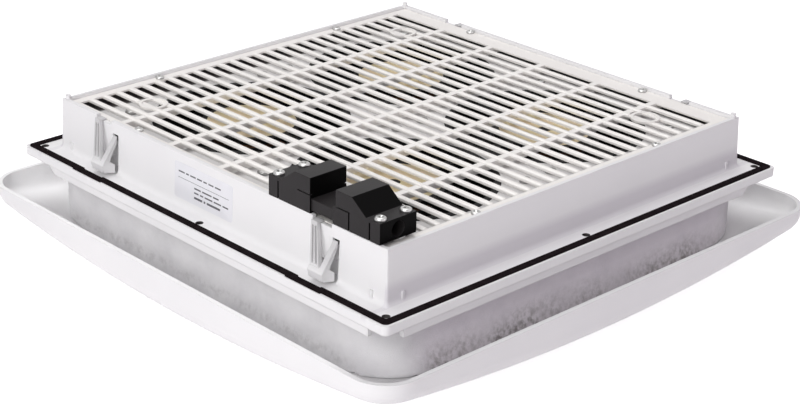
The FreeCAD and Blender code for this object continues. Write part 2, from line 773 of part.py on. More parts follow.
def impeller(index, x, y):
    """Rotor cup with twisted blades."""
    name = f"fan_impeller_{index}"
    body = doc.addObject("PartDesign::Body", name)
    bore = "(shaft_radius + seat_gap)"
    inside = "(rotor_radius - rotor_wall)"
    cap_top = f"({ROTOR_BOTTOM} + rotor_cap)"
    cup = [
        (bore, ROTOR_BOTTOM),
        ("rotor_radius", ROTOR_BOTTOM),
        ("rotor_radius", ROTOR_TOP),
        (inside, ROTOR_TOP),
        (inside, cap_top),
        ("rotor_boss", cap_top),
        ("rotor_boss", f"{cap_top} + rotor_boss_rise"),
        (bore, f"{cap_top} + rotor_boss_rise"),
    ]
    turned(body, "PartDesign::Revolution", f"{name}_cup", cup)
    root = blade_section(f"{name}_root", body, "blade_sweep_root", "rotor_radius - blade_root_sink")
    tip = blade_section(f"{name}_tip", body, "blade_sweep_tip", "duct_radius + tip_gap")
    blade = body.newObject("PartDesign::AdditiveLoft", f"{name}_blade")
    blade.Profile = root
    blade.Sections = [tip]
    blade.Ruled = True
    doc.recompute()
    ring = body.newObject("PartDesign::PolarPattern", f"{name}_blades")
    ring.Originals = [blade]
    ring.Axis = (origin_part(body, "Z_Axis"), [""])
    ring.Angle = 360
    bind(ring, "Occurrences", "blade_count")
    body.Tip = ring
    doc.recompute()
    beyond = f"({TIP_RADIUS} + duct_radius)"
    trim = [
        (TIP_RADIUS, f"{ROTOR_BOTTOM} - rotor_cap"),
        (beyond, f"{ROTOR_BOTTOM} - rotor_cap"),
        (beyond, f"{ROTOR_TOP} + rotor_cap"),
        (TIP_RADIUS, f"{ROTOR_TOP} + rotor_cap"),
    ]
    turned(body, "PartDesign::Groove", f"{name}_trim", trim)
    keep(place(body, x, y), name)


def shaft(index, x, y):
    name = f"fan_shaft_{index}"
    length = f"{HUB_UNDER} - part_gap - {ROTOR_BOTTOM}"
    keep(rod(name, "shaft_radius", length, x, y, ROTOR_BOTTOM), name)


def fans():
    for index, (x, y) in enumerate(fan_places(), start=1):
        fan_frame(index, x, y)
        bearings(index, x, y)
        stator(index, x, y)
        impeller(index, x, y)
        shaft(index, x, y)


def dome_edge(edge):
    """True for the level edges between the hood's rim and its floor."""
    heights = [vertex.Point.z for vertex in edge.Vertexes]
    level = max(heights) - min(heights) < 1e-3
    return level and number(HOOD_FLOOR) + 1.5 * number("hood_wall") < heights[0] < number("0 - hood_rim") - 1


def domed(name, inset, rise):
    """Square prism with drafted walls, cut off below by the dome."""
    side, corner = f"hood_side - 2 * {inset}", f"hood_corner - {inset}"
    depth = f"hood_depth + {rise} - {inset}"
    walls = prism(f"{name}_walls", side, corner, depth, f"{rise} - hood_rim", "0 - hood_draft", down=True)
    bowl = common(f"{name}_bowl", walls, ball(f"{name}_dome", f"dome_radius - {inset}", DOME_CENTRE))
    return rounded_edges(f"{name}_rounded", bowl, f"hood_round - {inset}", dome_edge)


def hood():
    """Domed tray with four posts that plug into the base."""
    shell = cut("hood_shell", domed("hood_outside", "0", "0"), [domed("hood_inside", "hood_wall", "1")])
    solids = [shell]
    mid_wall = "(dome_radius - hood_wall / 2)"
    foot = f"({DOME_CENTRE} - sqrt({mid_wall} ^ 2 - 2 * post_place ^ 2))"
    shoulder = "(0 - post_top)"
    for index, (x, y) in enumerate(post_places()):
        solids.append(rod(f"post_{index}", "post_radius", f"{shoulder} - {foot}", x, y, foot))
        solids.append(rod(f"post_pin_{index}", "pin_radius", "pin_rise", x, y, shoulder))
    keep(fuse("hood", solids), "hood")


def filter_mat():
    """Fleece strip standing on the hood's floor, bent round at the corners."""
    top = f"({FLANGE_UNDER} - part_gap)"
    deep = "hood_rim + hood_depth"
    inside, bend = "mat_side - 2 * mat_thick", "mat_corner - mat_thick"
    outer = prism("mat_outer", "mat_side", "mat_corner", deep, top, down=True)
    inner = prism("mat_inner", inside, bend, deep, top, down=True)
    floor = ball("mat_floor", "dome_radius - hood_wall - part_gap", DOME_CENTRE)
    keep(common("filter_mat", cut("mat_ring", outer, [inner]), floor), "filter_mat")


def filter_rails():
    """Rails under the flange, outside the filter mat. Each has one cut end and one bevelled end."""
    turns = {"front": (0, 1), "right": (90, -1), "rear": (180, 1), "left": (270, -1)}
    bottom = f"({FLANGE_UNDER} - rail_height)"
    depth = "(flange_side / 2 - skirt_wall - rail_thick / 2)"
    for side, (angle, way) in turns.items():
        points = [
            (f"{-way} * (rail_short - rail_cut)", bottom),
            (f"{way} * rail_long", bottom),
            (f"{way} * rail_long", FLANGE_UNDER),
            (f"{-way} * rail_short", FLANGE_UNDER),
            (f"{-way} * rail_short", f"{bottom} + rail_cut"),
        ]
        name = f"filter_rail_{side}"
        rail = profile(name, "XZ", points, "rail_thick")
        rail.Placement.Rotation = FreeCAD.Rotation(FreeCAD.Vector(0, 0, 1), angle)
        offset = FreeCAD.Rotation(FreeCAD.Vector(0, 0, 1), angle).multVec(FreeCAD.Vector(0, -1, 0))
        keep(place(rail, f"{round(offset.x)} * {depth}", f"{round(offset.y)} * {depth}"), name)


def clamp_screw_places(way):
    x = f"plug_centre + {way} * clamp_screw_along"
    return [(x, f"{CONNECTOR_Y} + {sy} * clamp_screw_across") for sy in SIGNS]


def clamp_screw_holes(name, way):
    foot = "box_height + plug_low - clamp_screw_length"
    return [
        rod(f"{name}_screw_hole_{index}", "screw_radius + seat_gap", "clamp_screw_length + 1", x, y, foot)
        for index, (x, y) in enumerate(clamp_screw_places(way))
    ]


def connector_half(name, way, base):
    """Housing that slopes from a high block at the inner end to a low cable clamp at the outer end."""
    points = [
        (f"plug_centre + {way} * plug_inner", base),
        (f"plug_centre + {way} * plug_half", base),
        (f"plug_centre + {way} * plug_half", "box_height + plug_low"),
        (f"plug_centre + {way} * plug_slope", "box_height + plug_low"),
        (f"plug_centre + {way} * plug_top", "box_height + plug_high"),
        (f"plug_centre + {way} * plug_inner", "box_height + plug_high"),
    ]
    sketch = outline(f"{name}_outline", points)
    sketch.Placement.Rotation = PLANES["XZ"]
    return extrude(name, place(sketch, y=CONNECTOR_Y), "plug_width", middle=True)


PLUG_FACE = "(plug_centre + plug_inner)"
BAR_END = "(plug_centre + plug_inner - part_gap)"
CONTACT_START = "(plug_centre + plug_inner - part_gap - contact_length)"
CONTACT_Z = "box_height + contact_rise"
SEAM_Z = "(box_height + part_gap + flap_height)"


def contact_rods(name, radius, length, start):
    """Row of rods along X, side by side across the connector."""
    rods = []
    for index in range(SIZES["contact_count"]):
        y = f"{CONNECTOR_Y} + ({index} - (contact_count - 1) / 2) * contact_step"
        rods.append(rod(f"{name}_{index}", radius, length, start, y, CONTACT_Z, ALONG_X))
    return rods


def flaps(name, length, height, thick, start, base):
    """Pair of plates flush with the connector's sides."""
    x = f"{start} + ({length}) / 2"
    spots = [f"{CONNECTOR_Y} + {way} * (plug_width / 2 - ({thick}) / 2)" for way in SIGNS]
    return [block(f"{name}_{index}", length, thick, height, x, y, base) for index, y in enumerate(spots)]


def slits(name, way):
    """Upright slit in each side of a half, where its cable clamp begins."""
    start = f"plug_centre + {way} * (plug_half - slit_inset) - slit_width / 2"
    return flaps(f"{name}_slit", "slit_width", "slit_height + 1", "2 * slit_width", start, "box_height - 1")


def socket():
    """Fixed half, with the bar and side flaps that hold the plug, and a foot that stands on the grille."""
    start = "(plug_centre - plug_inner - 1)"
    bar_length, bar_x = f"({BAR_END} - {start})", f"({start} + {BAR_END}) / 2"
    foot_length, foot_x = "plug_half - plug_inner", "plug_centre - (plug_half + plug_inner) / 2"
    foot_y = f"{CONNECTOR_Y} + plug_width / 2 - socket_foot_width / 2"
    base, bar_z = "box_height + part_gap", "box_height + bar_lift"
    bar_width, bar_rise = "plug_width - 2 * bar_inset", "bar_height - bar_lift"
    solids = [
        connector_half("socket_shell", -1, "box_height"),
        block("bar", bar_length, bar_width, bar_rise, bar_x, CONNECTOR_Y, bar_z),
        block("socket_foot", foot_length, "socket_foot_width", "rim_rise", foot_x, foot_y, GRILLE_TOP),
    ]
    solids += flaps("flap", "flap_length + 2", "flap_height", "flap_thick", f"{BAR_END} - 2", base)
    bores = contact_rods("contact_seat", "contact_radius + seat_gap", "contact_length + 1", CONTACT_START)
    seam_start = "plug_centre - plug_inner - flap_length"
    seams = flaps("seam", "flap_length", "seam", "2 * seam", seam_start, SEAM_Z)
    holes = clamp_screw_holes("socket", -1) + bores + seams + slits("socket", -1)
    keep(cut("connector_socket", fuse("socket_blank", solids), holes), "connector_socket")
    tubes = contact_rods("contact_tube", "contact_radius", "contact_length", CONTACT_START)
    insides = contact_rods("contact_inside", "contact_pin + contact_slack", "contact_length", CONTACT_START)
    contacts = [cut(f"contact_{i}", tube, [inside]) for i, (tube, inside) in enumerate(zip(tubes, insides))]
    keep(group("socket_contacts", contacts), "socket_contacts")
    screw_set("socket_screws", CLAMP_SCREW, clamp_screw_places(-1), "(box_height + plug_low)")


def plug():
    """Half that pulls off along X, with its pins and the entry for the supply cable."""
    base = "box_height + part_gap"
    shell = connector_half("plug_shell", 1, base)
    recess_size = ("flap_length + seam + 1", "flap_height + seam + 1", "flap_thick + part_gap")
    recess = flaps("flap_recess", *recess_size, f"{PLUG_FACE} - 1", f"{base} - 1")
    entry = rod("cable_entry", "cable_radius", "cable_depth + 1", "plug_centre + plug_half - cable_depth",
                CONNECTOR_Y, "box_height + cable_rise", ALONG_X)
    holes = clamp_screw_holes("plug", 1) + recess + slits("plug", 1) + [entry]
    keep(cut("connector_plug", shell, holes), "connector_plug")
    length = f"{PLUG_FACE} - {CONTACT_START} - 1"
    pins = contact_rods("plug_pin", "contact_pin", length, f"{CONTACT_START} + 1")
    keep(group("plug_pins", pins), "plug_pins")
    screw_set("plug_screws", CLAMP_SCREW, clamp_screw_places(1), "(box_height + plug_low)")


# Slots in a clip's leg, as shares of its width
CLIP_SLOTS = ((0.18, 0.40), (0.58, 0.86))
CLIP_LEG_LEFT = "(0 - clip_apex - clip_apex_width / 2)"


def leg_point(share, z):
    """Point across a clip's leg, which leans over and widens downwards."""
    fall = f"((clip_root - ({z})) / (clip_root - clip_ledge))"
    left = f"({CLIP_LEG_LEFT} - (clip_left + {CLIP_LEG_LEFT}) * {fall})"
    return f"{left} + {share} * (clip_apex_width + (clip_leg_foot - clip_apex_width) * {fall})", z


def leg_front(low_share, high_share, bottom, top):
    corners = ((low_share, bottom), (high_share, bottom), (high_share, top), (low_share, top))
    return [leg_point(share, z) for share, z in corners]


def claw_piece(label, side_points, front_points):
    """Where a shape seen from the side and a shape seen from the front meet."""
    outward = [(f"0 - {WALL} - ({out})", z) for out, z in side_points]
    across = profile(f"{label}_side", "YZ", outward, "4 * (clip_apex + clip_right)")
    along = profile(f"{label}_front", "XZ", front_points, "2 * box_side")
    return common(label, across, along)


def across(low, high, bottom, top):
    return [(low, bottom), (high, bottom), (high, top), (low, top)]


def roof_clip(index, way_x, way_y):
    """Springy claw hooked over the rim: a leg and a strut carry a nose with a slanted catch under it."""
    name = f"roof_clip_{index}"
    hook_under = "(clip_root - clip_hook)"
    merge = "(clip_ledge - 1)"
    leg_side = [
        ("0 - clip_hook_reach", "clip_root"),
        ("clip_gap + clip_root_thick", "clip_root"),
        ("clip_ledge_out", merge),
        ("clip_ledge_out - clip_leaf", merge),
        ("clip_gap", hook_under),
        ("0 - clip_hook_reach", hook_under),
    ]
    strut_side = [
        ("clip_gap", "clip_strut_top - clip_strut_thick"),
        ("clip_gap", "clip_strut_top"),
        ("clip_ledge_out", "clip_ledge"),
        ("clip_ledge_out", merge),
        ("clip_ledge_out - clip_strut_thick", merge),
    ]
    nose_side = [
        ("clip_ledge_out", "clip_ledge"),
        ("clip_nose_out", "clip_nose_rise"),
        ("clip_tip_out", "clip_tip_rise"),
        ("clip_heel_out", "clip_heel_rise"),
        ("clip_heel_out", "clip_heel_rise + clip_heel_height"),
        ("clip_ledge_out - clip_strut_thick", "clip_ledge"),
    ]
    strut_left = "(clip_right - clip_strut)"
    pieces = [
        claw_piece(f"{name}_leg", leg_side, leg_front(0, 1, merge, "clip_root")),
        claw_piece(f"{name}_strut", strut_side, across(strut_left, "clip_right", "0", "clip_root")),
        claw_piece(f"{name}_nose", nose_side, across("0 - clip_left", "clip_right", "0", "clip_root")),
    ]
    slots = []
    for slot, (low, high) in enumerate(CLIP_SLOTS):
        front = leg_front(low, high, "clip_slot_foot", "clip_slot_top")
        slots.append(profile(f"{name}_slot_{slot}", "XZ", front, "2 * box_side"))
    clip = cut(name, fuse(f"{name}_blank", pieces), slots)
    clip.Placement.Rotation = FreeCAD.Rotation(FreeCAD.Vector(0, 0, 1), 90 + 90 * way_y)
    keep(place(clip, f"{way_x} * clip_place"), name)


def roof_clips():
    spots = [(x, y) for y in SIGNS for x in SIGNS]
    for index, (way_x, way_y) in enumerate(spots, start=1):
        roof_clip(index, way_x, way_y)


def checked():
    """Stop on any object that failed, or any sub-part whose shape isn't sound."""
    doc.recompute()
    failed = [item.Name for item in doc.Objects if "Invalid" in item.State or "Error" in item.State]
    if failed:
        raise RuntimeError(f"failed objects: {failed}")
    for item in SUB_PARTS:
        if item.Shape.isNull() or not item.Shape.isValid() or not item.Shape.Solids:
            raise RuntimeError(f"bad shape: {item.Label}")


def write_parts():
    os.makedirs("parts", exist_ok=True)
    for item in SUB_PARTS:
        item.Shape.exportStep(f"parts/{item.Label}.step")
        box = item.Shape.BoundBox
        low = [round(value, 2) for value in (box.XMin, box.YMin, box.ZMin)]
        high = [round(value, 2) for value in (box.XMax, box.YMax, box.ZMax)]
        print(item.Label, len(item.Shape.Solids), "solids", low, high, round(item.Shape.Volume), "mm3")


base_frame()
gasket()
grille()
screws()
fans()
hood()
filter_mat()
filter_rails()
socket()
plug()
roof_clips()
checked()
write_parts()
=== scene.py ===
"""Looks of the enclosure roof fan: finishes, fleece, slat backs, screws, labels, light and camera."""

import math

import bmesh
import bpy
from mathutils import Matrix, Vector, noise
from mathutils.bvhtree import BVHTree

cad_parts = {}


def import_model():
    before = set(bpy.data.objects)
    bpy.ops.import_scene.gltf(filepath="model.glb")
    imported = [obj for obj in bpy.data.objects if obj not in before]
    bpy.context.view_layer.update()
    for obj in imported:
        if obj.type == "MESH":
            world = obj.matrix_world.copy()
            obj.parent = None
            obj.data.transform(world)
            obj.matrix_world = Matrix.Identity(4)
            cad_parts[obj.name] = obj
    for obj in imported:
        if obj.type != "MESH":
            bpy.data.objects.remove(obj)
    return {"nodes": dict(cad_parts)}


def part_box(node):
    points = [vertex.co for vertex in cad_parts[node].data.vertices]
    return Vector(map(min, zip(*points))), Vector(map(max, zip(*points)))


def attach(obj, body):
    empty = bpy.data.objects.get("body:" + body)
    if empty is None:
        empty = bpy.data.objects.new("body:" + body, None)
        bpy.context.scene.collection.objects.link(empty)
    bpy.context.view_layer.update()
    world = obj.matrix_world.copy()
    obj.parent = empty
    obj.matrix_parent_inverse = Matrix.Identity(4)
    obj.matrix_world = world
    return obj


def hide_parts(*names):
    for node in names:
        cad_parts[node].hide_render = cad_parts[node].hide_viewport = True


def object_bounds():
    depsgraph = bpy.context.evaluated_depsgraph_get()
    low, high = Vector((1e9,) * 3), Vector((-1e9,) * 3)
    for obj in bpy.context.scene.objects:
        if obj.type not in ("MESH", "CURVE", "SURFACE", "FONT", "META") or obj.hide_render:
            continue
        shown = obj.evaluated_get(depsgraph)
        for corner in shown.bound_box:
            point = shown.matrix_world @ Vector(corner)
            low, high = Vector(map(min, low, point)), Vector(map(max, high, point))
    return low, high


MM = 0.001
MERGE_DISTANCE = 0.001 * MM
# Vertices of a CAD mesh that agree to a micrometre are taken as one
MICRONS = 1e6
FANS = (1, 2, 3, 4)
CLIPS = (1, 2, 3, 4)

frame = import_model()
nodes = frame["nodes"]
cad_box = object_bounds()


# Geometry helpers

def into_scene(piece):
    bpy.context.scene.collection.objects.link(piece)


def mesh_from(bm, name):
    """Turns a bmesh into a mesh and frees it."""
    mesh = bpy.data.meshes.new(name)
    bm.to_mesh(mesh)
    bm.free()
    return mesh


def new_piece(name, bm, material, body, smooth_angle=None):
    """Turns a bmesh in metres into a named piece that rides on a body."""
    bm.normal_update()
    mesh = mesh_from(bm, name)
    piece = bpy.data.objects.new(name, mesh)
    into_scene(piece)
    mesh.materials.append(material)
    if smooth_angle is not None:
        mesh.shade_smooth()
        mesh.set_sharp_from_angle(angle=math.radians(smooth_angle))
    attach(piece, body)
    return piece


def islands(node):
    """A node's separate solids: lowest and highest corner, largest radius of the upper and lower half."""
    mesh = nodes[node].data
    parent = {}

    def find(key):
        while parent[key] != key:
            parent[key] = parent[parent[key]]
            key = parent[key]
        return key

    keys = [tuple(round(c * MICRONS) for c in v.co) for v in mesh.vertices]
    for key in keys:
        parent.setdefault(key, key)
    for polygon in mesh.polygons:
        first = find(keys[polygon.vertices[0]])
        for index in polygon.vertices[1:]:
            parent[find(keys[index])] = first
    groups = {}
    for vertex, key in zip(mesh.vertices, keys):
        groups.setdefault(find(key), []).append(vertex.co)
    found = []
    for points in groups.values():
        low = Vector(min(p[i] for p in points) for i in range(3))
        high = Vector(max(p[i] for p in points) for i in range(3))
        middle = (low + high) / 2
        upper = max((p.xy - middle.xy).length for p in points if p.z > middle.z)
        lower = max((p.xy - middle.xy).length for p in points if p.z <= middle.z)
        found.append((low, high, upper, lower))
    return sorted(found, key=lambda item: tuple(item[0]))


def lathe(bm, profile, segments, centre=(0, 0)):
    """Turns (radius, height) points about a vertical axis; a zero radius closes an end."""
    rings = []
    for radius, height in profile:
        if radius == 0:
            rings.append([bm.verts.new((centre[0], centre[1], height))])
            continue
        ring = []
        for i in range(segments):
            angle = 2 * math.pi * i / segments
            ring.append(bm.verts.new((
                centre[0] + radius * math.cos(angle),
                centre[1] + radius * math.sin(angle),
                height,
            )))
        rings.append(ring)
    for low, high in zip(rings, rings[1:]):
        for i in range(segments):
            j = (i + 1) % segments
            corners = []
            for vertex in (low[i % len(low)], low[j % len(low)], high[j % len(high)], high[i % len(high)]):
                if vertex not in corners:
                    corners.append(vertex)
            bm.faces.new(corners)


def bridge(bm, near, far):
    """Faces between two closed loops with the same number of vertices."""
    for i in range(len(near)):
        j = (i + 1) % len(near)
        bm.faces.new((near[i], near[j], far[j], far[i]))


def turned_on_fan(fan, name, profile, segments, material):
    """A piece turned about a fan's axis, from (radius, height over the fan) points in millimetres."""
    low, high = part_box(f"fan_frame_{fan}")
    middle = (low + high) / 2
    bm = bmesh.new()
    lathe(bm, [(r * MM, high.z + h * MM) for r, h in profile], segments, (middle.x, middle.y))
    bmesh.ops.remove_doubles(bm, verts=bm.verts, dist=MERGE_DISTANCE)
    bmesh.ops.recalc_face_normals(bm, faces=bm.faces)
    return new_piece(f"{name}_{fan}", bm, material, "chassis", smooth_angle=30)


def surface_of(node):
    """A node's faces, for finding where a ray meets them."""
    mesh = nodes[node].data
    return BVHTree.FromPolygons([v.co for v in mesh.vertices], [tuple(p.vertices) for p in mesh.polygons])


def apply_modifiers(piece):
    """Replaces a piece's mesh by the one its modifiers make."""
    graph = bpy.context.evaluated_depsgraph_get()
    made = bpy.data.meshes.new_from_object(piece.evaluated_get(graph))
    piece.modifiers.clear()
    piece.data = made


# Material helpers

# Sockets of the mix node for colours: its inputs and its output
MIX_FACTOR = 0
MIX_FIRST = 6
MIX_SECOND = 7
MIX_RESULT = 2
BEVEL_SAMPLES = 6


def new_material(name):
    material = bpy.data.materials.new(name)
    material.use_nodes = True
    tree = material.node_tree
    shader = tree.nodes["Principled BSDF"]
    return material, tree, shader


def colour_of(material):
    """A material's tree, the input for its colour, and the colour that comes in there so far."""
    tree = material.node_tree
    entry = tree.nodes["Principled BSDF"].inputs["Base Color"]
    return tree, entry, entry.links[0].from_socket


def set_inputs(node, values):
    for name, value in values.items():
        node.inputs[name].default_value = value


def coordinates(tree):
    return tree.nodes.new("ShaderNodeTexCoord").outputs["Object"]


def true_normal(tree):
    return tree.nodes.new("ShaderNodeNewGeometry").outputs["True Normal"]


def axes_of(tree, vector):
    """A vector's X, Y and Z."""
    node = tree.nodes.new("ShaderNodeSeparateXYZ")
    tree.links.new(vector, node.inputs["Vector"])
    return node.outputs


def noise_node(tree, where, scale, detail=2.0, rough=0.5):
    node = tree.nodes.new("ShaderNodeTexNoise")
    tree.links.new(where, node.inputs["Vector"])
    set_inputs(node, {"Scale": scale, "Detail": detail, "Roughness": rough})
    return node.outputs["Fac"]


def ramp(tree, fac, stops):
    node = tree.nodes.new("ShaderNodeValToRGB")
    tree.links.new(fac, node.inputs["Fac"])
    elements = node.color_ramp.elements
    while len(elements) < len(stops):
        elements.new(0.5)
    for element, (place, colour) in zip(elements, stops):
        element.position = place
        element.color = (*colour, 1.0)
    return node.outputs["Color"]


def spread(tree, fac, low, high, from_low=0.0, from_high=1.0):
    """Goes from low to high while a value goes from from_low to from_high."""
    node = tree.nodes.new("ShaderNodeMapRange")
    tree.links.new(fac, node.inputs["Value"])
    set_inputs(node, {"From Min": from_low, "From Max": from_high, "To Min": low, "To Max": high})
    return node.outputs["Result"]


def spread_noise(tree, where, waves, levels):
    """Noise of a (scale, detail, roughness), spread over levels as they stand in spread()."""
    return spread(tree, noise_node(tree, where, *waves), *levels)


def math_node(tree, kind, first, second=0.0):
    """A calculation with two values, which are floats or outputs of other nodes."""
    node = tree.nodes.new("ShaderNodeMath")
    node.operation = kind
    for socket, value in zip(node.inputs, (first, second)):
        if isinstance(value, float):
            socket.default_value = value
        else:
            tree.links.new(value, socket)
    return node.outputs[0]


def times(tree, first, second):
    return math_node(tree, "MULTIPLY", first, second)


def from_middle(tree, axes):
    """The distances from the middle along X and Y."""
    return [math_node(tree, "ABSOLUTE", axes[axis]) for axis in ("X", "Y")]


def between(tree, value, low, high, soft):
    """1 where a value lies between two limits, with soft ends."""
    rise = spread(tree, value, 0.0, 1.0, low - soft, low)
    fall = spread(tree, value, 1.0, 0.0, high, high + soft)
    return times(tree, rise, fall)


def mixed(tree, fac, first, second, mode="MIX"):
    """A mix of two colours, which are tuples or outputs of other nodes."""
    node = tree.nodes.new("ShaderNodeMix")
    node.data_type = "RGBA"
    node.blend_type = mode
    for value, socket in ((fac, MIX_FACTOR), (first, MIX_FIRST), (second, MIX_SECOND)):
        if isinstance(value, tuple):
            node.inputs[socket].default_value = (*value, 1.0)
        else:
            tree.links.new(value, node.inputs[socket])
    return node.outputs[MIX_RESULT]


def bumped(tree, shader, height, distance, strength, bevel=0.0):
    """Adds a bump from a height, over slightly rounded edges where bevel is set."""
    bump = tree.nodes.new("ShaderNodeBump")
    tree.links.new(height, bump.inputs["Height"])
    set_inputs(bump, {"Distance": distance, "Strength": strength})
    if bevel:
        edge = tree.nodes.new("ShaderNodeBevel")
        edge.samples = BEVEL_SAMPLES
        edge.inputs["Radius"].default_value = bevel
        tree.links.new(edge.outputs["Normal"], bump.inputs["Normal"])
    tree.links.new(bump.outputs["Normal"], shader.inputs["Normal"])


# Plastics

# Each plastic's pale and dull tone, lowest and highest roughness, and strength of its grain
HOUSING_PLASTIC = ((0.868, 0.862, 0.866), (0.835, 0.83, 0.836), 0.40, 0.52, 0.25)
# The clip plastic's tone is painted shade on the clips' arms
CLIP_SHADE_PLASTIC = ((0.62, 0.615, 0.62), (0.56, 0.555, 0.56), 0.42, 0.55, 0.25)
GRILLE_PLASTIC = ((0.935, 0.91, 0.875), (0.905, 0.88, 0.845), 0.34, 0.46, 0.22)
CONNECTOR_PLASTIC = ((0.022, 0.0195, 0.0205), (0.014, 0.0125, 0.0130), 0.36, 0.50, 0.35)
FAN_PLASTIC = ((0.008, 0.008, 0.0085), (0.005, 0.005, 0.0055), 0.5, 0.65, 0.35)
# Noise in all of them as (scale, detail), the specks' levels, and the grain's height in metres
FLOW_WAVES = (14, 3)
SPECK_WAVES = (900, 2)
SPECK_LEVELS = (0.0, 0.06)
SHEEN_WAVES = (60, 4)
GRAIN_WAVES = (2600, 3)
GRAIN_HEIGHT = 0.00006


def moulded_plastic(name, pale, dull, low_rough, high_rough, grain, bevel=0.0005, gloss=0.5):
    """Satin moulded plastic: faint flow clouds, fine grain and softened edges."""
    material, tree, shader = new_material(name)
    where = coordinates(tree)
    flow = ramp(tree, noise_node(tree, where, *FLOW_WAVES), ((0.35, dull), (0.65, pale)))
    specks = spread_noise(tree, where, SPECK_WAVES, SPECK_LEVELS)
    rough = spread_noise(tree, where, SHEEN_WAVES, (low_rough, high_rough))
    tree.links.new(mixed(tree, specks, flow, dull), shader.inputs["Base Color"])
    tree.links.new(rough, shader.inputs["Roughness"])
    shader.inputs["Specular IOR Level"].default_value = gloss
    bumped(tree, shader, noise_node(tree, where, *GRAIN_WAVES), GRAIN_HEIGHT, grain, bevel)
    return material


# Places on the base frame in metres. Heights of the painted shade on its deck, in the channel at the inner
# walls' foot, and at the outer walls' foot, each with its soft ends
DECK_HEIGHTS = (0.0195, 0.0240, 0.0005)
CHANNEL_HEIGHTS = (0.0195, 0.0272, 0.0012)
FOOT_HEIGHTS = (0.0025, 0.0085, 0.0055)
# Distances from the middle: the room inside its walls and the outside of its side walls, each with soft ends,
# and where the channel's painted shade fades in
INSIDE_WALLS = (0.0, 0.1436, 0.0002)
SIDE_WALLS = (0.1446, 0.1480, 0.0002)
CHANNEL_START = (0.1295, 0.1320)
# The flange's holes, in painted shade: distance from the middle, radius, softness of the edge, and where they
# fade in height
HOLE_PLACE = 0.1536
HOLE_RADIUS = 0.0023
HOLE_SOFT = 0.00005
HOLE_HEIGHTS = (0.002, 0.004)
# Tones of the painted shade at the foot, in holes and channel, and on the deck with its noise and levels
FOOT_SHADE_TONE = (0.73, 0.71, 0.74)
SHADE = (0.040, 0.034, 0.034)
DECK_SHADE_TONE = (0.50, 0.47, 0.44)
DECK_WAVES = (90, 4)
DECK_LEVELS = (0.1, 0.5)
FRAME_BEVEL = 0.0008


def frame_plastic():
    """The housing's plastic, with painted shade: an uneven darker deck, darker side walls' feet, a dark
    channel and dark holes.
    """
    material = moulded_plastic("frame_plastic", *HOUSING_PLASTIC, bevel=FRAME_BEVEL)
    tree, entry, clean = colour_of(material)
    where = coordinates(tree)
    axes = axes_of(tree, where)
    height = axes["Z"]
    far = from_middle(tree, axes)
    edge = math_node(tree, "MAXIMUM", *far)
    inside = between(tree, edge, *INSIDE_WALLS)

    # Painted shade on the deck under the grille, made uneven by noise
    deck = times(tree, inside, between(tree, height, *DECK_HEIGHTS))
    uneven = spread_noise(tree, where, DECK_WAVES, DECK_LEVELS)
    shade_painted = mixed(tree, times(tree, deck, uneven), clean, DECK_SHADE_TONE)

    # Painted shade: darker feet on the side walls
    side_wall = between(tree, far[0], *SIDE_WALLS)
    foot = times(tree, side_wall, between(tree, height, *FOOT_HEIGHTS))
    foot_shaded = mixed(tree, foot, shade_painted, FOOT_SHADE_TONE)

    # Painted shade: a dark channel along the inner walls' foot
    along_wall = times(tree, inside, spread(tree, edge, 0.0, 1.0, *CHANNEL_START))
    channel = times(tree, along_wall, between(tree, height, *CHANNEL_HEIGHTS))

    # Painted shade: dark flange holes
    to_hole = []
    for distance in far:
        beside = math_node(tree, "ABSOLUTE", math_node(tree, "SUBTRACT", distance, HOLE_PLACE))
        nearest = math_node(tree, "MINIMUM", distance, beside)
        to_hole.append(math_node(tree, "POWER", nearest, 2.0))
    reach = math_node(tree, "SQRT", math_node(tree, "ADD", *to_hole))
    in_hole = spread(tree, reach, 1.0, 0.0, HOLE_RADIUS, HOLE_RADIUS + HOLE_SOFT)
    hole = times(tree, in_hole, spread(tree, height, 1.0, 0.0, *HOLE_HEIGHTS))

    dark = math_node(tree, "MAXIMUM", channel, hole)
    tree.links.new(mixed(tree, dark, foot_shaded, SHADE), entry)
    return material


# Heights in metres between which a clip goes from its pale nose to its arms, greyer with painted shade
CLIP_NOSE = (0.006, 0.014)
CLIP_PALE = (0.79, 0.785, 0.79)


def clip_plastic():
    """Plastic greyed with painted shade on the clip's arms, pale at its nose."""
    material = moulded_plastic("clip_plastic", *CLIP_SHADE_PLASTIC)
    tree, entry, grey = colour_of(material)
    arm = spread(tree, axes_of(tree, coordinates(tree))["Z"], 0.0, 1.0, *CLIP_NOSE)
    # Painted shade: the arms greyer than the pale nose
    tree.links.new(mixed(tree, arm, CLIP_PALE, grey), entry)
    return material


CONNECTOR_GLOSS = 0.13
# Painted shade: the connector's ends are darker and less glossy than its top and sides, by how far a face
# turns to X
END_FACING = (0.3, 0.6)
END_SHADE_TONE = (0.0022, 0.0020, 0.0021)
END_SHADE_GLOSS = 0.03


def connector_plastic():
    """Black plastic, dark on top and on its sides, with painted shade that makes its ends deep black and
    dull.
    """
    material = moulded_plastic("connector_plastic", *CONNECTOR_PLASTIC, gloss=CONNECTOR_GLOSS)
    tree, entry, top_and_sides = colour_of(material)
    turned = math_node(tree, "ABSOLUTE", axes_of(tree, true_normal(tree))["X"])
    end_shade = spread(tree, turned, 0.0, 1.0, *END_FACING)
    # Painted shade: deep black, less glossy ends
    tree.links.new(mixed(tree, end_shade, top_and_sides, END_SHADE_TONE), entry)
    gloss = spread(tree, turned, CONNECTOR_GLOSS, END_SHADE_GLOSS, *END_FACING)
    tree.links.new(gloss, tree.nodes["Principled BSDF"].inputs["Specular IOR Level"])
    return material


# The hood's inside: faces that turn to its axis, or up as seen from this depth in metres. It is paler with
# painted light, and gets painted shade towards +X between these places
INSIDE_LIGHT_TONE = (0.965, 0.96, 0.963)
INSIDE_SHADE_TONE = (0.72, 0.715, 0.718)
INSIDE_SHADE_PLACES = (0.135, 0.160)
INSIDE_DEPTH = 0.15
INSIDE_SOFT = 0.02


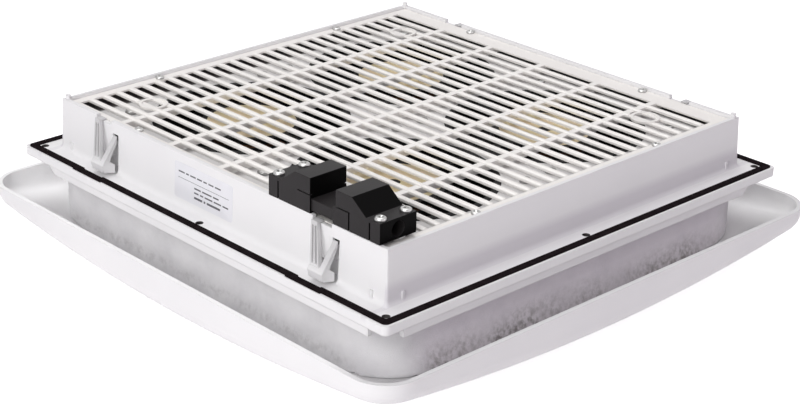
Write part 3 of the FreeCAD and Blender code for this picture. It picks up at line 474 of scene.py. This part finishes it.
def hood_plastic():
    """The housing's plastic, with painted light on the inside of the hood and painted shade there towards +X.
    """
    material = moulded_plastic("hood_plastic", *HOUSING_PLASTIC)
    tree, entry, outside_tone = colour_of(material)
    where = coordinates(tree)
    outwards = tree.nodes.new("ShaderNodeVectorMath")
    outwards.operation = "MULTIPLY_ADD"
    tree.links.new(where, outwards.inputs[0])
    outwards.inputs[1].default_value = (1.0, 1.0, 0.0)
    outwards.inputs[2].default_value = (0.0, 0.0, -INSIDE_DEPTH)
    facing = tree.nodes.new("ShaderNodeVectorMath")
    facing.operation = "DOT_PRODUCT"
    tree.links.new(outwards.outputs["Vector"], facing.inputs[0])
    tree.links.new(true_normal(tree), facing.inputs[1])
    inside = spread(tree, facing.outputs["Value"], 1.0, 0.0, -INSIDE_SOFT, INSIDE_SOFT)
    # Painted light on the inside, with painted shade towards +X
    shade_painted = spread(tree, axes_of(tree, where)["X"], 0.0, 1.0, *INSIDE_SHADE_PLACES)
    inside_painted = mixed(tree, shade_painted, INSIDE_LIGHT_TONE, INSIDE_SHADE_TONE)
    tree.links.new(mixed(tree, inside, outside_tone, inside_painted), entry)
    return material


# Rubber, fleece, metal, paper and winding

RUBBER_TONES = ((0.3, (0.0075, 0.0055, 0.006)), (0.7, (0.0165, 0.012, 0.0135)))
RUBBER_WAVES = (220, 3)
PORE_SCALE = 1500
PORE_DEPTH = 0.0002


def rubber():
    """Dull black foam rubber with fine pores."""
    material, tree, shader = new_material("gasket_foam")
    where = coordinates(tree)
    pores = tree.nodes.new("ShaderNodeTexVoronoi")
    tree.links.new(where, pores.inputs["Vector"])
    pores.inputs["Scale"].default_value = PORE_SCALE
    colour = ramp(tree, noise_node(tree, where, *RUBBER_WAVES), RUBBER_TONES)
    tree.links.new(colour, shader.inputs["Base Color"])
    set_inputs(shader, {"Roughness": 0.88, "Specular IOR Level": 0.01})
    bumped(tree, shader, pores.outputs["Distance"], PORE_DEPTH, strength=0.5)
    return material


# The fleece's clouds and fibres, with their noise as (scale, detail, roughness)
CLOUD_WAVES = (45, 4, 0.6)
CLOUD_TONES = (
    (0.32, (0.74, 0.73, 0.75)),
    (0.5, (0.785, 0.775, 0.79)),
    (0.68, (0.82, 0.81, 0.82)),
)
FIBRE_WAVES = (1400, 4, 0.7)
FIBRE_LEVELS = (0.0, 0.4)
FIBRE_TONE = (0.84, 0.835, 0.845)
FIBRE_HEIGHT = 0.0006
# Its dark marks: specks along a line near its foot, faint dust mottles in the clouds, and dust grains that
# gather in drifts on its +X side
SPECK_AND_DUST_TONE = (0.22, 0.20, 0.195)
LINE_SPECKS = ((240, 4, 0.65), (0.0, 0.24, 0.42, 0.64))
DUST_MOTTLES = (0.135, 0.06, 0.32, 0.68)
DUST_GRAINS = ((300, 3, 0.6), (0.0, 1.0, 0.38, 0.64))
DUST_DRIFTS = ((30, 2), (0.2, 1.0, 0.36, 0.62))
PATCH_LEVELS = (0.32, 1.0)
# Heights in metres: the line of specks with its soft ends, and where the dust on the +X side fades out
# upwards
SPECK_HEIGHTS = (-0.0388, -0.0368, 0.0030)
RIGHT_HEIGHTS = (-0.0410, -0.0260)
# Places along X where the +X side starts, its tint of painted light, and the distances from the middle along
# both axes between which the dust and that tint fade out towards a corner
RIGHT_START = (0.140, 0.150)
RIGHT_LIGHT_TINT = (1.12, 1.08, 1.12)
CORNER_FADE = (0.118, 0.138)


def fleece():
    """Pale non-woven fleece: soft clouds, fine crossing fibres, and dark specks and dust towards its foot."""
    material, tree, shader = new_material("filter_fleece")
    where = coordinates(tree)
    axes = axes_of(tree, where)
    clouds = noise_node(tree, where, *CLOUD_WAVES)
    fibres = noise_node(tree, where, *FIBRE_WAVES)
    base = ramp(tree, clouds, CLOUD_TONES)
    streaked = mixed(tree, spread(tree, fibres, *FIBRE_LEVELS), base, FIBRE_TONE)

    specks = spread_noise(tree, where, *LINE_SPECKS)
    line = times(tree, specks, between(tree, axes["Z"], *SPECK_HEIGHTS))
    specked = math_node(tree, "ADD", line, spread(tree, clouds, *DUST_MOTTLES))

    grains = spread_noise(tree, where, *DUST_GRAINS)
    drifts = spread_noise(tree, where, *DUST_DRIFTS)
    patches = spread(tree, times(tree, grains, drifts), *PATCH_LEVELS)
    drifted = times(tree, patches, spread(tree, axes["Z"], 1.0, 0.0, *RIGHT_HEIGHTS))

    right = spread(tree, axes["X"], 0.0, 1.0, *RIGHT_START)
    inset = math_node(tree, "MINIMUM", *from_middle(tree, axes))
    along = spread(tree, inset, 1.0, 0.0, *CORNER_FADE)
    dust = times(tree, mixed(tree, right, specked, drifted), along)
    # Painted light: the +X side lighter and lilac, fading out towards the corners
    right_lit = mixed(tree, times(tree, right, along), streaked, RIGHT_LIGHT_TINT, "MULTIPLY")
    tree.links.new(mixed(tree, dust, right_lit, SPECK_AND_DUST_TONE), shader.inputs["Base Color"])
    set_inputs(shader, {
        "Roughness": 0.95,
        "Sheen Weight": 0.35,
        "Sheen Roughness": 0.6,
        "Specular IOR Level": 0.15,
    })
    bumped(tree, shader, fibres, FIBRE_HEIGHT, strength=0.5)
    return material


# Noise in metal and paper as (scale, detail): tone, roughness and surface, whose height is in metres
METAL_TONE_WAVES = (500, 3)
METAL_ROUGH_WAVES = (1800, 2)
METAL_SURFACE_WAVES = (3000, 2)
METAL_DULL = 0.82
PAPER_TONE_WAVES = (90, 4)
PAPER_ROUGH_WAVES = (400, 3)
PAPER_SURFACE_WAVES = (2200, 3)
PAPER_ROUGH_SPREAD = 0.06
SURFACE_HEIGHT = 0.00003


def metal(name, colour, low_rough, high_rough):
    """Plated metal with faint clouds and a fine surface."""
    material, tree, shader = new_material(name)
    where = coordinates(tree)
    dull = tuple(c * METAL_DULL for c in colour)
    tone = ramp(tree, noise_node(tree, where, *METAL_TONE_WAVES), ((0.3, dull), (0.7, colour)))
    rough = spread_noise(tree, where, METAL_ROUGH_WAVES, (low_rough, high_rough))
    tree.links.new(tone, shader.inputs["Base Color"])
    tree.links.new(rough, shader.inputs["Roughness"])
    shader.inputs["Metallic"].default_value = 1.0
    bumped(tree, shader, noise_node(tree, where, *METAL_SURFACE_WAVES), SURFACE_HEIGHT, strength=0.25)
    return material


def paper(name, pale, dull, rough):
    """Paper, film or ink with faint clouds."""
    material, tree, shader = new_material(name)
    where = coordinates(tree)
    tone = ramp(tree, noise_node(tree, where, *PAPER_TONE_WAVES), ((0.3, dull), (0.7, pale)))
    rough_levels = (rough - PAPER_ROUGH_SPREAD, rough + PAPER_ROUGH_SPREAD)
    tree.links.new(tone, shader.inputs["Base Color"])
    tree.links.new(spread_noise(tree, where, PAPER_ROUGH_WAVES, rough_levels), shader.inputs["Roughness"])
    bumped(tree, shader, noise_node(tree, where, *PAPER_SURFACE_WAVES), SURFACE_HEIGHT, strength=0.2)
    return material


WINDING_TONES = ((0.2, (0.10, 0.05, 0.03)), (0.8, (0.42, 0.20, 0.10)))
WINDING_DEPTH = 0.0002


def winding():
    """Copper winding on a lacquered core: fine turns round the motor's axis."""
    material, tree, shader = new_material("motor_winding")
    turns = tree.nodes.new("ShaderNodeTexWave")
    turns.bands_direction = "Z"
    set_inputs(turns, {"Scale": 700, "Distortion": 1.5})
    tree.links.new(coordinates(tree), turns.inputs["Vector"])
    colour = ramp(tree, turns.outputs["Fac"], WINDING_TONES)
    tree.links.new(colour, shader.inputs["Base Color"])
    set_inputs(shader, {"Metallic": 0.6, "Roughness": 0.45})
    bumped(tree, shader, turns.outputs["Fac"], WINDING_DEPTH, strength=0.5)
    return material


# Materials of the CAD pieces

HOUSING = moulded_plastic("housing_plastic", *HOUSING_PLASTIC)
HOOD = hood_plastic()
FRAME = frame_plastic()
CLIP = clip_plastic()
GRILLE = moulded_plastic("grille_plastic", *GRILLE_PLASTIC, bevel=0.0006)
CONNECTOR = connector_plastic()
FAN = moulded_plastic("fan_plastic", *FAN_PLASTIC, bevel=0.0004, gloss=0.2)
RUBBER = rubber()
FLEECE = fleece()
STEEL = metal("zinc_steel", (0.50, 0.495, 0.49), 0.26, 0.42)
BRASS = metal("contact_brass", (0.80, 0.62, 0.30), 0.25, 0.40)
WINDING = winding()
PLATE = paper("label_plate", (0.80, 0.80, 0.835), (0.77, 0.77, 0.805), 0.36)
INK = paper("label_ink", (0.10, 0.098, 0.11), (0.07, 0.068, 0.08), 0.5)
HUB_PAPER = paper("hub_label", (0.97, 0.82, 0.60), (0.88, 0.80, 0.50), 0.45)

NODE_MATERIALS = {
    HOOD: ["hood"],
    HOUSING: [f"filter_rail_{side}" for side in ("front", "right", "rear", "left")],
    FRAME: ["base_frame"],
    CLIP: [f"roof_clip_{i}" for i in CLIPS],
    GRILLE: ["grille"],
    RUBBER: ["gasket"],
    CONNECTOR: ["connector_socket", "connector_plug"],
    FAN: [f"fan_frame_{i}" for i in FANS] + [f"fan_impeller_{i}" for i in FANS],
    STEEL: [f"fan_shaft_{i}" for i in FANS] + [f"fan_bearings_{i}" for i in FANS],
    WINDING: [f"fan_stator_{i}" for i in FANS],
    BRASS: ["socket_contacts", "plug_pins"],
}
for material, names in NODE_MATERIALS.items():
    for name in names:
        nodes[name].data.materials.clear()
        nodes[name].data.materials.append(material)


# Filter mat

VOXEL = 2.0 * MM
SMOOTHING = 4
# Relief of the fleece, from noise as (waves per millimetre, share) less a level
MAT_RELIEF = 1.0 * MM
MAT_WAVES = ((0.045, 0.5), (0.15, 0.35), (0.5, 0.25))
MAT_LEVEL = 0.55
# The fleece spreads outwards at its foot, from this height over the hood down, and lies on the hood
MAT_FOOT = 14.0 * MM
MAT_SPREAD = 5.0 * MM
# Towards its corners, between these distances from the middle along both axes, it stays upright, but for the
# corner at +X and -Y, which spreads most
MAT_CORNER = (110.0 * MM, 140.0 * MM)
CORNER_SPREAD = 11.0 * MM
# Share of the foot's height from which its edge is drawn down on the hood
DRAWN = 0.55
SEAT = 0.2 * MM
# Height over a point from which the hood under it is looked for
LOOK_FROM = 20 * MM


def clamped(value):
    return min(max(value, 0.0), 1.0)


def floor_under(dish, point):
    """The place on the hood's inside under a point, or None outside the hood."""
    return dish.ray_cast(point + Vector((0, 0, LOOK_FROM)), Vector((0, 0, -1)))[0]


def foot_share(dish, point):
    """How far down a point of the fleece lies in its foot: 0 above it, 1 on the hood."""
    floor_hit = floor_under(dish, point)
    if floor_hit is None:
        return 0.0
    return clamped(1 - (point.z - floor_hit.z) / MAT_FOOT)


def foot_spread(point):
    """How far the fleece's foot spreads outwards at a point."""
    inset = min(abs(point.x), abs(point.y))
    corner = clamped((inset - MAT_CORNER[0]) / (MAT_CORNER[1] - MAT_CORNER[0]))
    at_corner = CORNER_SPREAD if point.x > 0 > point.y else 0.0
    return MAT_SPREAD * (1 - corner) + at_corner * corner


def relief(point):
    """How far the fleece stands out of the plain solid's surface at a point."""
    wave = 0.0
    for scale, share in MAT_WAVES:
        wave += noise.noise(point / MM * scale) * share
    return MAT_RELIEF * (wave - MAT_LEVEL)


def fleece_place(dish, vertex):
    """Where a vertex of the plain solid's surface goes in the fleece."""
    moved = vertex.co + vertex.normal * relief(vertex.co)
    share = foot_share(dish, moved)
    outward = vertex.normal.xy
    outside = outward.dot(vertex.co.xy) > 0
    if outside:
        moved.xy += outward * (foot_spread(vertex.co) * share * share)
    floor_hit = floor_under(dish, moved)
    if floor_hit is not None and share > 0:
        seat = floor_hit.z + SEAT
        drawn = max((share - DRAWN) / (1 - DRAWN), 0.0) if outside else 0.0
        moved.z = max(moved.z * (1 - drawn) + seat * drawn, seat)
    return moved


def filter_fleece():
    """The fleece ring: the plain solid's form with a soft, uneven surface, spread a little at its foot."""
    piece = bpy.data.objects.new("filter_fleece", nodes["filter_mat"].data.copy())
    into_scene(piece)
    remesh = piece.modifiers.new("remesh", "REMESH")
    remesh.mode = "VOXEL"
    remesh.voxel_size = VOXEL
    smooth = piece.modifiers.new("smooth", "SMOOTH")
    smooth.iterations = SMOOTHING
    apply_modifiers(piece)
    mesh = piece.data
    dish = surface_of("hood")
    places = [fleece_place(dish, vertex) for vertex in mesh.vertices]
    for vertex, place in zip(mesh.vertices, places):
        vertex.co = place
    mesh.shade_smooth()
    mesh.materials.clear()
    mesh.materials.append(FLEECE)
    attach(piece, "hood")
    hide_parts("filter_mat")


filter_fleece()


# Grille and fan rims

# The slots as they are cut in the plate, in millimetres
SLOT_MARGIN = 6.1
SLOT_WIDTH = 5.9
SLOT_ROWS = 27
ROW_FRONT = 4.32
ROW_REAR = 12.62
# The rings on the plate, from its middle
RING_PLACE = 105.5
RING_RADIUS = 9.0
RING_RISE = 0.5
# Room that a slat's back leaves at the connector's ends
CONNECTOR_ROOM = 0.5
# Height of a slat's rounded back over the webs, and how far it sinks into the plate
CROWN = 0.8
SUNK = 0.05
# Steps across a slat's back, and its height along each end as (distance, share)
CROWN_STEPS = 8
CROWN_END = ((0.0, 0.1), (0.8, 0.65), (2.6, 1.0))


def free_spans(y, reach, half_width):
    """The stretches of a slat along X that neither a ring nor the connector's foot covers."""
    covered = []
    for side in (-1, 1):
        away = abs(abs(y) - RING_PLACE) - half_width
        if away < RING_RADIUS:
            chord = math.sqrt(RING_RADIUS ** 2 - max(away, 0.0) ** 2)
            covered.append((side * RING_PLACE - chord, side * RING_PLACE + chord))
    low, high = (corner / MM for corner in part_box("connector_socket"))
    if low.y - half_width < y < high.y + half_width:
        covered.append((low.x - CONNECTOR_ROOM, high.x + CONNECTOR_ROOM))
    spans = []
    start = -reach
    for low_x, high_x in sorted(covered):
        spans.append((start, low_x))
        start = high_x
    spans.append((start, reach))
    return spans


def slat_back(bm, span, y, half_width, top):
    """One rounded back on a slat, closed, with its ends run out."""
    sections = [(span[0] + away, share) for away, share in CROWN_END]
    sections += [(span[1] - away, share) for away, share in reversed(CROWN_END)]
    loops = []
    for x, share in sections:
        loop = [(x, y + half_width, top - SUNK), (x, y - half_width, top - SUNK)]
        for step in range(CROWN_STEPS + 1):
            across = 2 * step / CROWN_STEPS - 1
            loop.append((x, y + half_width * across, top + CROWN * share * (1 - across * across)))
        loops.append([bm.verts.new(Vector(point) * MM) for point in loop])
    for near, far in zip(loops, loops[1:]):
        bridge(bm, near, far)
    bm.faces.new(loops[0])
    bm.faces.new(loops[-1][::-1])


def slat_backs():
    """Rounded backs on the grille's slats, which run on over the webs between its fields."""
    low, high = (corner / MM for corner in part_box("grille"))
    top = high.z - RING_RISE
    row_step = (high.y - low.y - ROW_FRONT - ROW_REAR - SLOT_WIDTH) / (SLOT_ROWS - 1)
    half_width = (row_step - SLOT_WIDTH) / 2
    bm = bmesh.new()
    for row in range(SLOT_ROWS - 1):
        y = low.y + ROW_FRONT + SLOT_WIDTH + half_width + row * row_step
        for span in free_spans(y, high.x - SLOT_MARGIN, half_width):
            if span[1] - span[0] > 2 * CROWN_END[-1][0]:
                slat_back(bm, span, y, half_width, top)
    bmesh.ops.recalc_face_normals(bm, faces=bm.faces)
    piece = new_piece("grille_slat_backs", bm, GRILLE, "chassis", smooth_angle=40)


# A fan's inlet rim in the deck's opening and on its upper face: (radius, height over the fan) in millimetres
RIM_PROFILE = (
    (56.6, 0.0),
    (56.6, 2.9),
    (57.2, 3.2),
    (60.2, 3.2),
    (60.8, 2.9),
    (60.8, 2.52),
    (56.95, 2.52),
    (56.95, 0.0),
    (56.6, 0.0),
)
RIM_SEGMENTS = 96


def fan_rims():
    """A black inlet rim for each fan, seen through the slots round its opening."""
    for fan in FANS:
        piece = turned_on_fan(fan, "fan_inlet_rim", RIM_PROFILE, RIM_SEGMENTS, FAN)


slat_backs()
fan_rims()


# Screws

# The cross recess, as shares of the head's radius: half an arm's width, and its reach at the top and bottom.
# An arm narrows to a share of its width, and the recess goes down by a share of the head's height
RECESS_ARM = 0.20
RECESS_TOP = 0.62
RECESS_BOTTOM = 0.28
RECESS_NARROWS = 0.7
RECESS_DEPTH = 0.75
# How far the cutting cross stands over the head, in millimetres
RECESS_OVER = 0.5
# The shank's tip and thread in millimetres, with the tip's and the root's radius as shares of the shank's
TIP_RADIUS = 0.6
TIP_HEIGHT = 0.8
THREAD_START = 0.9
THREAD_END = 0.6
THREAD_PITCH = 0.7
THREAD_FALL = 0.3
THREAD_ROOT = 0.8
PLAIN_LENGTH = 1.4
FEWEST_TURNS = 3
NECK = 0.2
# The head: height and seat as shares of its radius, and its rounding as (fixed, rounded) shares of its radius
# and height
HEAD_HEIGHT = 0.6
HEAD_SEAT = 0.96
HEAD_ROUND = (0.62, 0.38)
HEAD_RISE = (0.35, 0.62)
HEAD_STEPS = 6
SCREW_SEGMENTS = 32
# Turn of the first screw's recess, in radians
FIRST_TURN = 0.4


def cross_recess(radius, depth):
    """A tapered cross, in millimetres, with its open end at height 0."""
    bm = bmesh.new()
    arm = radius * RECESS_ARM
    for turn in (0, math.pi / 2):
        box = bmesh.ops.create_cube(bm, size=1.0)["verts"]
        for vertex in box:
            high = vertex.co.z > 0
            reach = radius * (RECESS_TOP if high else RECESS_BOTTOM)
            vertex.co = Vector((
                math.copysign(reach, vertex.co.x),
                math.copysign(arm if high else arm * RECESS_NARROWS, vertex.co.y),
                RECESS_OVER if high else -depth,
            ))
        bmesh.ops.rotate(bm, verts=box, matrix=Matrix.Rotation(turn, 3, "Z"))
    return mesh_from(bm, "recess")


def screw_profile(head_radius, head_height, shank_radius, length):
    """A pan-head screw's (radius, height) points in millimetres: head above height 0, thread below."""
    profile = [(0, -length), (shank_radius * TIP_RADIUS, -length), (shank_radius, -length + TIP_HEIGHT)]
    turns = max(FEWEST_TURNS, int((length - PLAIN_LENGTH) / THREAD_PITCH))
    for i in range(turns):
        height = -length + THREAD_START + i * THREAD_PITCH
        if height > -THREAD_END:
            break
        profile += [(shank_radius, height), (shank_radius * THREAD_ROOT, height + THREAD_FALL)]
    profile += [(shank_radius, -NECK), (shank_radius, 0.0), (head_radius * HEAD_SEAT, 0.0)]
    for step in range(HEAD_STEPS + 1):
        angle = step / HEAD_STEPS * math.pi / 2
        profile.append((
            head_radius * (HEAD_ROUND[0] + HEAD_ROUND[1] * math.cos(angle)),
            head_height * (HEAD_RISE[0] + HEAD_RISE[1] * math.sin(angle)),
        ))
    profile.append((0, head_height))
    return profile


def screw_mesh(head_radius, head_height, shank_radius, length):
    """A pan-head screw in millimetres, with a cross recess in its head."""
    bm = bmesh.new()
    lathe(bm, screw_profile(head_radius, head_height, shank_radius, length), SCREW_SEGMENTS)
    bmesh.ops.recalc_face_normals(bm, faces=bm.faces)
    screw = bpy.data.objects.new("screw", mesh_from(bm, "screw"))
    tool = bpy.data.objects.new("recess", cross_recess(head_radius, head_height * RECESS_DEPTH))
    tool.location.z = head_height
    for piece in (screw, tool):
        into_scene(piece)
    cut = screw.modifiers.new("cut", "BOOLEAN")
    cut.object = tool
    cut.operation = "DIFFERENCE"
    cut.use_self = True
    bpy.context.view_layer.update()
    apply_modifiers(screw)
    made = screw.data
    bpy.data.objects.remove(screw)
    bpy.data.objects.remove(tool)
    return made


def screw_piece(name, node, body, turn_step):
    """Detailed screws in the place of a node's plain ones."""
    bm = bmesh.new()
    for count, (low, high, upper, lower) in enumerate(islands(node)):
        middle = (low + high) / 2
        head_up = upper > lower
        head_radius = max(upper, lower) / MM
        shank_radius = min(upper, lower) / MM
        head_height = head_radius * HEAD_HEIGHT
        length = (high.z - low.z) / MM - head_height
        made = screw_mesh(head_radius, head_height, shank_radius, length)
        seat = high.z - head_height * MM if head_up else low.z + head_height * MM
        turn = Matrix.Rotation(FIRST_TURN + count * turn_step, 4, "Z")
        place = Matrix.Translation((middle.x, middle.y, seat)) @ turn
        if not head_up:
            place = place @ Matrix.Rotation(math.pi, 4, "X")
        made.transform(place @ Matrix.Scale(MM, 4))
        bm.from_mesh(made)
    piece = new_piece(name, bm, STEEL, body, smooth_angle=35)
    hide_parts(node)


screw_piece("grille_screw_set", "grille_screws", "chassis", 1.1)
screw_piece("fan_screw_set", "fan_screws", "chassis", 0.7)
screw_piece("socket_screw_set", "socket_screws", "chassis", 0.9)
screw_piece("plug_screw_set", "plug_screws", "plug", 1.3)


# Labels, in millimetres

LABEL_PLACE = (-6.0, 15.4)
LABEL_SIZE = (52.5, 22.0)
LABEL_CORNER = 1.6
CORNER_STEPS = 6
LABEL_THICK = 0.25
# The plate's edge as (inset, height over the wall), and the heights of the ink's foot and top
PLATE_EDGE = ((0.0, 0.0), (0.0, LABEL_THICK * 0.7), (0.15, LABEL_THICK))
INK_HEIGHTS = (LABEL_THICK - 0.01, LABEL_THICK + 0.02)
# Print on the label: a rule, and bars in the place of words, as (left end, height, thickness, bar lengths)
LABEL_RULE = (-23.0, 1.9, 0.25, (46.0,))
LABEL_ROWS = (
    (-22.5, 5.6, 0.9, (5.5, 2.6, 5.0, 4.4, 3.2, 4.6, 5.2)),
    (-8.0, -0.9, 0.9, (6.0, 8.5, 5.0)),
    (-8.0, -3.6, 0.9, (4.0, 3.0, 7.0, 6.5, 5.0)),
    (-8.0, -6.6, 1.3, (7.5, 1.5, 12.0)),
)
WORD_GAP = 1.3
# Place along Y, in metres, from which the front wall is looked for
BEFORE_WALL = -0.3
# A hub label: (radius, height over the fan)
HUB_LABEL_PROFILE = ((27.4, 0.0), (27.5, 0.12), (27.3, 0.2), (4.2, 0.2), (4.0, 0.12), (3.9, 0.0))
HUB_LABEL_SEGMENTS = 64


def rounded_outline(width, height, corner, steps):
    """The points of a rectangle with rounded corners."""
    points = []
    for quarter, (sx, sy) in enumerate(((1, 1), (-1, 1), (-1, -1), (1, -1))):
        for step in range(steps + 1):
            angle = (quarter + step / steps) * math.pi / 2
            points.append((
                sx * (width / 2 - corner) + corner * math.cos(angle),
                sy * (height / 2 - corner) + corner * math.sin(angle),
            ))
    return points


def wall_point(wall, x, z, rise):
    """A point a little above the front wall, from its place on the label."""
    start = Vector(((LABEL_PLACE[0] + x) * MM, BEFORE_WALL, (LABEL_PLACE[1] + z) * MM))
    hit, normal, _, _ = wall.ray_cast(start, Vector((0, 1, 0)))
    return hit + normal * rise * MM


def label_plate(wall):
    """A plate on the front wall, set on the drafted face."""
    width, height = LABEL_SIZE
    bm = bmesh.new()
    rings = []
    for inset, rise in PLATE_EDGE:
        outline = rounded_outline(width - 2 * inset, height - 2 * inset, LABEL_CORNER, CORNER_STEPS)
        rings.append([bm.verts.new(wall_point(wall, x, z, rise)) for x, z in outline])
    for low, high in zip(rings, rings[1:]):
        bridge(bm, low, high)
    bm.faces.new(rings[-1])
    bmesh.ops.recalc_face_normals(bm, faces=bm.faces)
    new_piece("front_label_plate", bm, PLATE, "chassis", smooth_angle=30)


def label_print(wall):
    """Thin raised ink on the plate: a rule and bars, without a word or mark."""
    bm = bmesh.new()
    for left, height, thick, lengths in (LABEL_RULE, *LABEL_ROWS):
        low = height - thick / 2
        high = height + thick / 2
        for length in lengths:
            right = left + length
            corners = ((left, low), (right, low), (right, high), (left, high))
            foot, top = (
                [bm.verts.new(wall_point(wall, x, z, rise)) for x, z in corners]
                for rise in INK_HEIGHTS
            )
            bm.faces.new(top)
            bm.faces.new(foot[::-1])
            bridge(bm, foot, top)
            left += length + WORD_GAP
    bmesh.ops.recalc_face_normals(bm, faces=bm.faces)
    new_piece("front_label_print", bm, INK, "chassis")


def hub_labels():
    """A bare round label on each fan's motor hub."""
    for fan in FANS:
        turned_on_fan(fan, "hub_label", HUB_LABEL_PROFILE, HUB_LABEL_SEGMENTS, HUB_PAPER)


front_wall = surface_of("base_frame")
label_plate(front_wall)
label_print(front_wall)
hub_labels()


# Stage, light and camera

FLOOR_TONE = (0.905, 0.885, 0.905)
FLOOR_GLOW = 0.72
# Half the floor's width, and how far it lies under the hood, in metres
FLOOR_SIZE = 4
FLOOR_DROP = 0.0002
WORLD_TONE = (0.98, 0.90, 1.0)
WORLD_STRENGTH = 0.12
WHITE = (1.0, 1.0, 1.0)
# Lamps, aimed at the origin: name, place, size, power, colour
LAMPS = (
    ("key", (-0.4, 0.1, 1.85), 1.5, 19, WHITE),
    ("front", (0.6, -1.6, 0.85), 1.6, 23.5, WHITE),
    ("rim", (1.4, 0.9, 0.9), 1.0, 3.5, (1.0, 0.88, 1.0)),
)
# The photo's camera, solved from the edges of the box, flange and grille: yaw, pitch and roll in degrees, the
# point it looks at and its distance in millimetres, then focal length, principal point and photo in pixels
CAMERA_ANGLES = (48.0, 23.556, 0.54)
CAMERA_AIM = (28.2, -79.2, 1.4)
CAMERA_DISTANCE = 1117.5
FOCAL_LENGTH = 1934.4
PRINCIPAL_POINT = (331.1, 201.4)
PHOTO_SIZE = (800, 405)
SENSOR_WIDTH = 36.0


def seen_directly(tree):
    """1 for the rays that show the background: from the camera, off gloss and through glass."""
    path = tree.nodes.new("ShaderNodeLightPath")
    total = path.outputs["Is Camera Ray"]
    for kind in ("Is Glossy Ray", "Is Transmission Ray"):
        total = math_node(tree, "MAXIMUM", total, path.outputs[kind])
    return total


def floor():
    """A white floor that glows a little where it is seen directly, so that it merges with the background."""
    material, tree, shader = new_material("floor_white")
    set_inputs(shader, {"Base Color": (*FLOOR_TONE, 1), "Roughness": 0.9})
    glow = tree.nodes.new("ShaderNodeEmission")
    tree.links.new(times(tree, seen_directly(tree), FLOOR_GLOW), glow.inputs["Strength"])
    both = tree.nodes.new("ShaderNodeAddShader")
    tree.links.new(shader.outputs[0], both.inputs[0])
    tree.links.new(glow.outputs[0], both.inputs[1])
    tree.links.new(both.outputs[0], tree.nodes["Material Output"].inputs["Surface"])
    bm = bmesh.new()
    bmesh.ops.create_grid(bm, x_segments=1, y_segments=1, size=FLOOR_SIZE)
    mesh = mesh_from(bm, "floor")
    mesh.materials.append(material)
    piece = bpy.data.objects.new("floor", mesh)
    piece.location.z = cad_box[0].z - FLOOR_DROP
    into_scene(piece)


def world():
    """A white background with a faint light of its own."""
    made = bpy.data.worlds.new("studio")
    bpy.context.scene.world = made
    made.use_nodes = True
    tree = made.node_tree
    soft = tree.nodes["Background"]
    set_inputs(soft, {"Color": (*WORLD_TONE, 1), "Strength": WORLD_STRENGTH})
    white = tree.nodes.new("ShaderNodeBackground")
    set_inputs(white, {"Color": (*WHITE, 1), "Strength": 1.0})
    mix = tree.nodes.new("ShaderNodeMixShader")
    tree.links.new(seen_directly(tree), mix.inputs[0])
    tree.links.new(soft.outputs[0], mix.inputs[1])
    tree.links.new(white.outputs[0], mix.inputs[2])
    tree.links.new(mix.outputs[0], tree.nodes["World Output"].inputs["Surface"])


def area_light(name, place, size, power, colour):
    lamp = bpy.data.lights.new(name, "AREA")
    lamp.shape = "DISK"
    lamp.size = size
    lamp.energy = power
    lamp.color = colour
    piece = bpy.data.objects.new(name, lamp)
    piece.location = place
    piece.rotation_euler = (-Vector(place)).to_track_quat("-Z", "Y").to_euler()
    into_scene(piece)


def camera():
    """A camera that sees the part as the photo does."""
    yaw, pitch, roll = (math.radians(angle) for angle in CAMERA_ANGLES)
    back = Vector((math.sin(yaw) * math.cos(pitch), -math.cos(yaw) * math.cos(pitch), math.sin(pitch)))
    right = Vector((math.cos(yaw), math.sin(yaw), 0))
    up = back.cross(right)
    tilted = right * math.cos(roll) + up * math.sin(roll)
    upright = back.cross(tilted)
    width, height = PHOTO_SIZE
    data = bpy.data.cameras.new("camera")
    data.sensor_width = SENSOR_WIDTH
    data.lens = SENSOR_WIDTH * FOCAL_LENGTH / width
    data.shift_x = (width / 2 - PRINCIPAL_POINT[0]) / width
    data.shift_y = (PRINCIPAL_POINT[1] - height / 2) / width
    piece = bpy.data.objects.new("camera", data)
    turn = Matrix((tilted, upright, back)).transposed()
    place = Vector(CAMERA_AIM) * MM + back * CAMERA_DISTANCE * MM
    piece.matrix_world = Matrix.Translation(place) @ turn.to_4x4()
    into_scene(piece)
    bpy.context.scene.camera = piece


floor()
world()
for lamp in LAMPS:
    area_light(*lamp)
camera()
bpy.context.scene.view_settings.view_transform = "Standard"
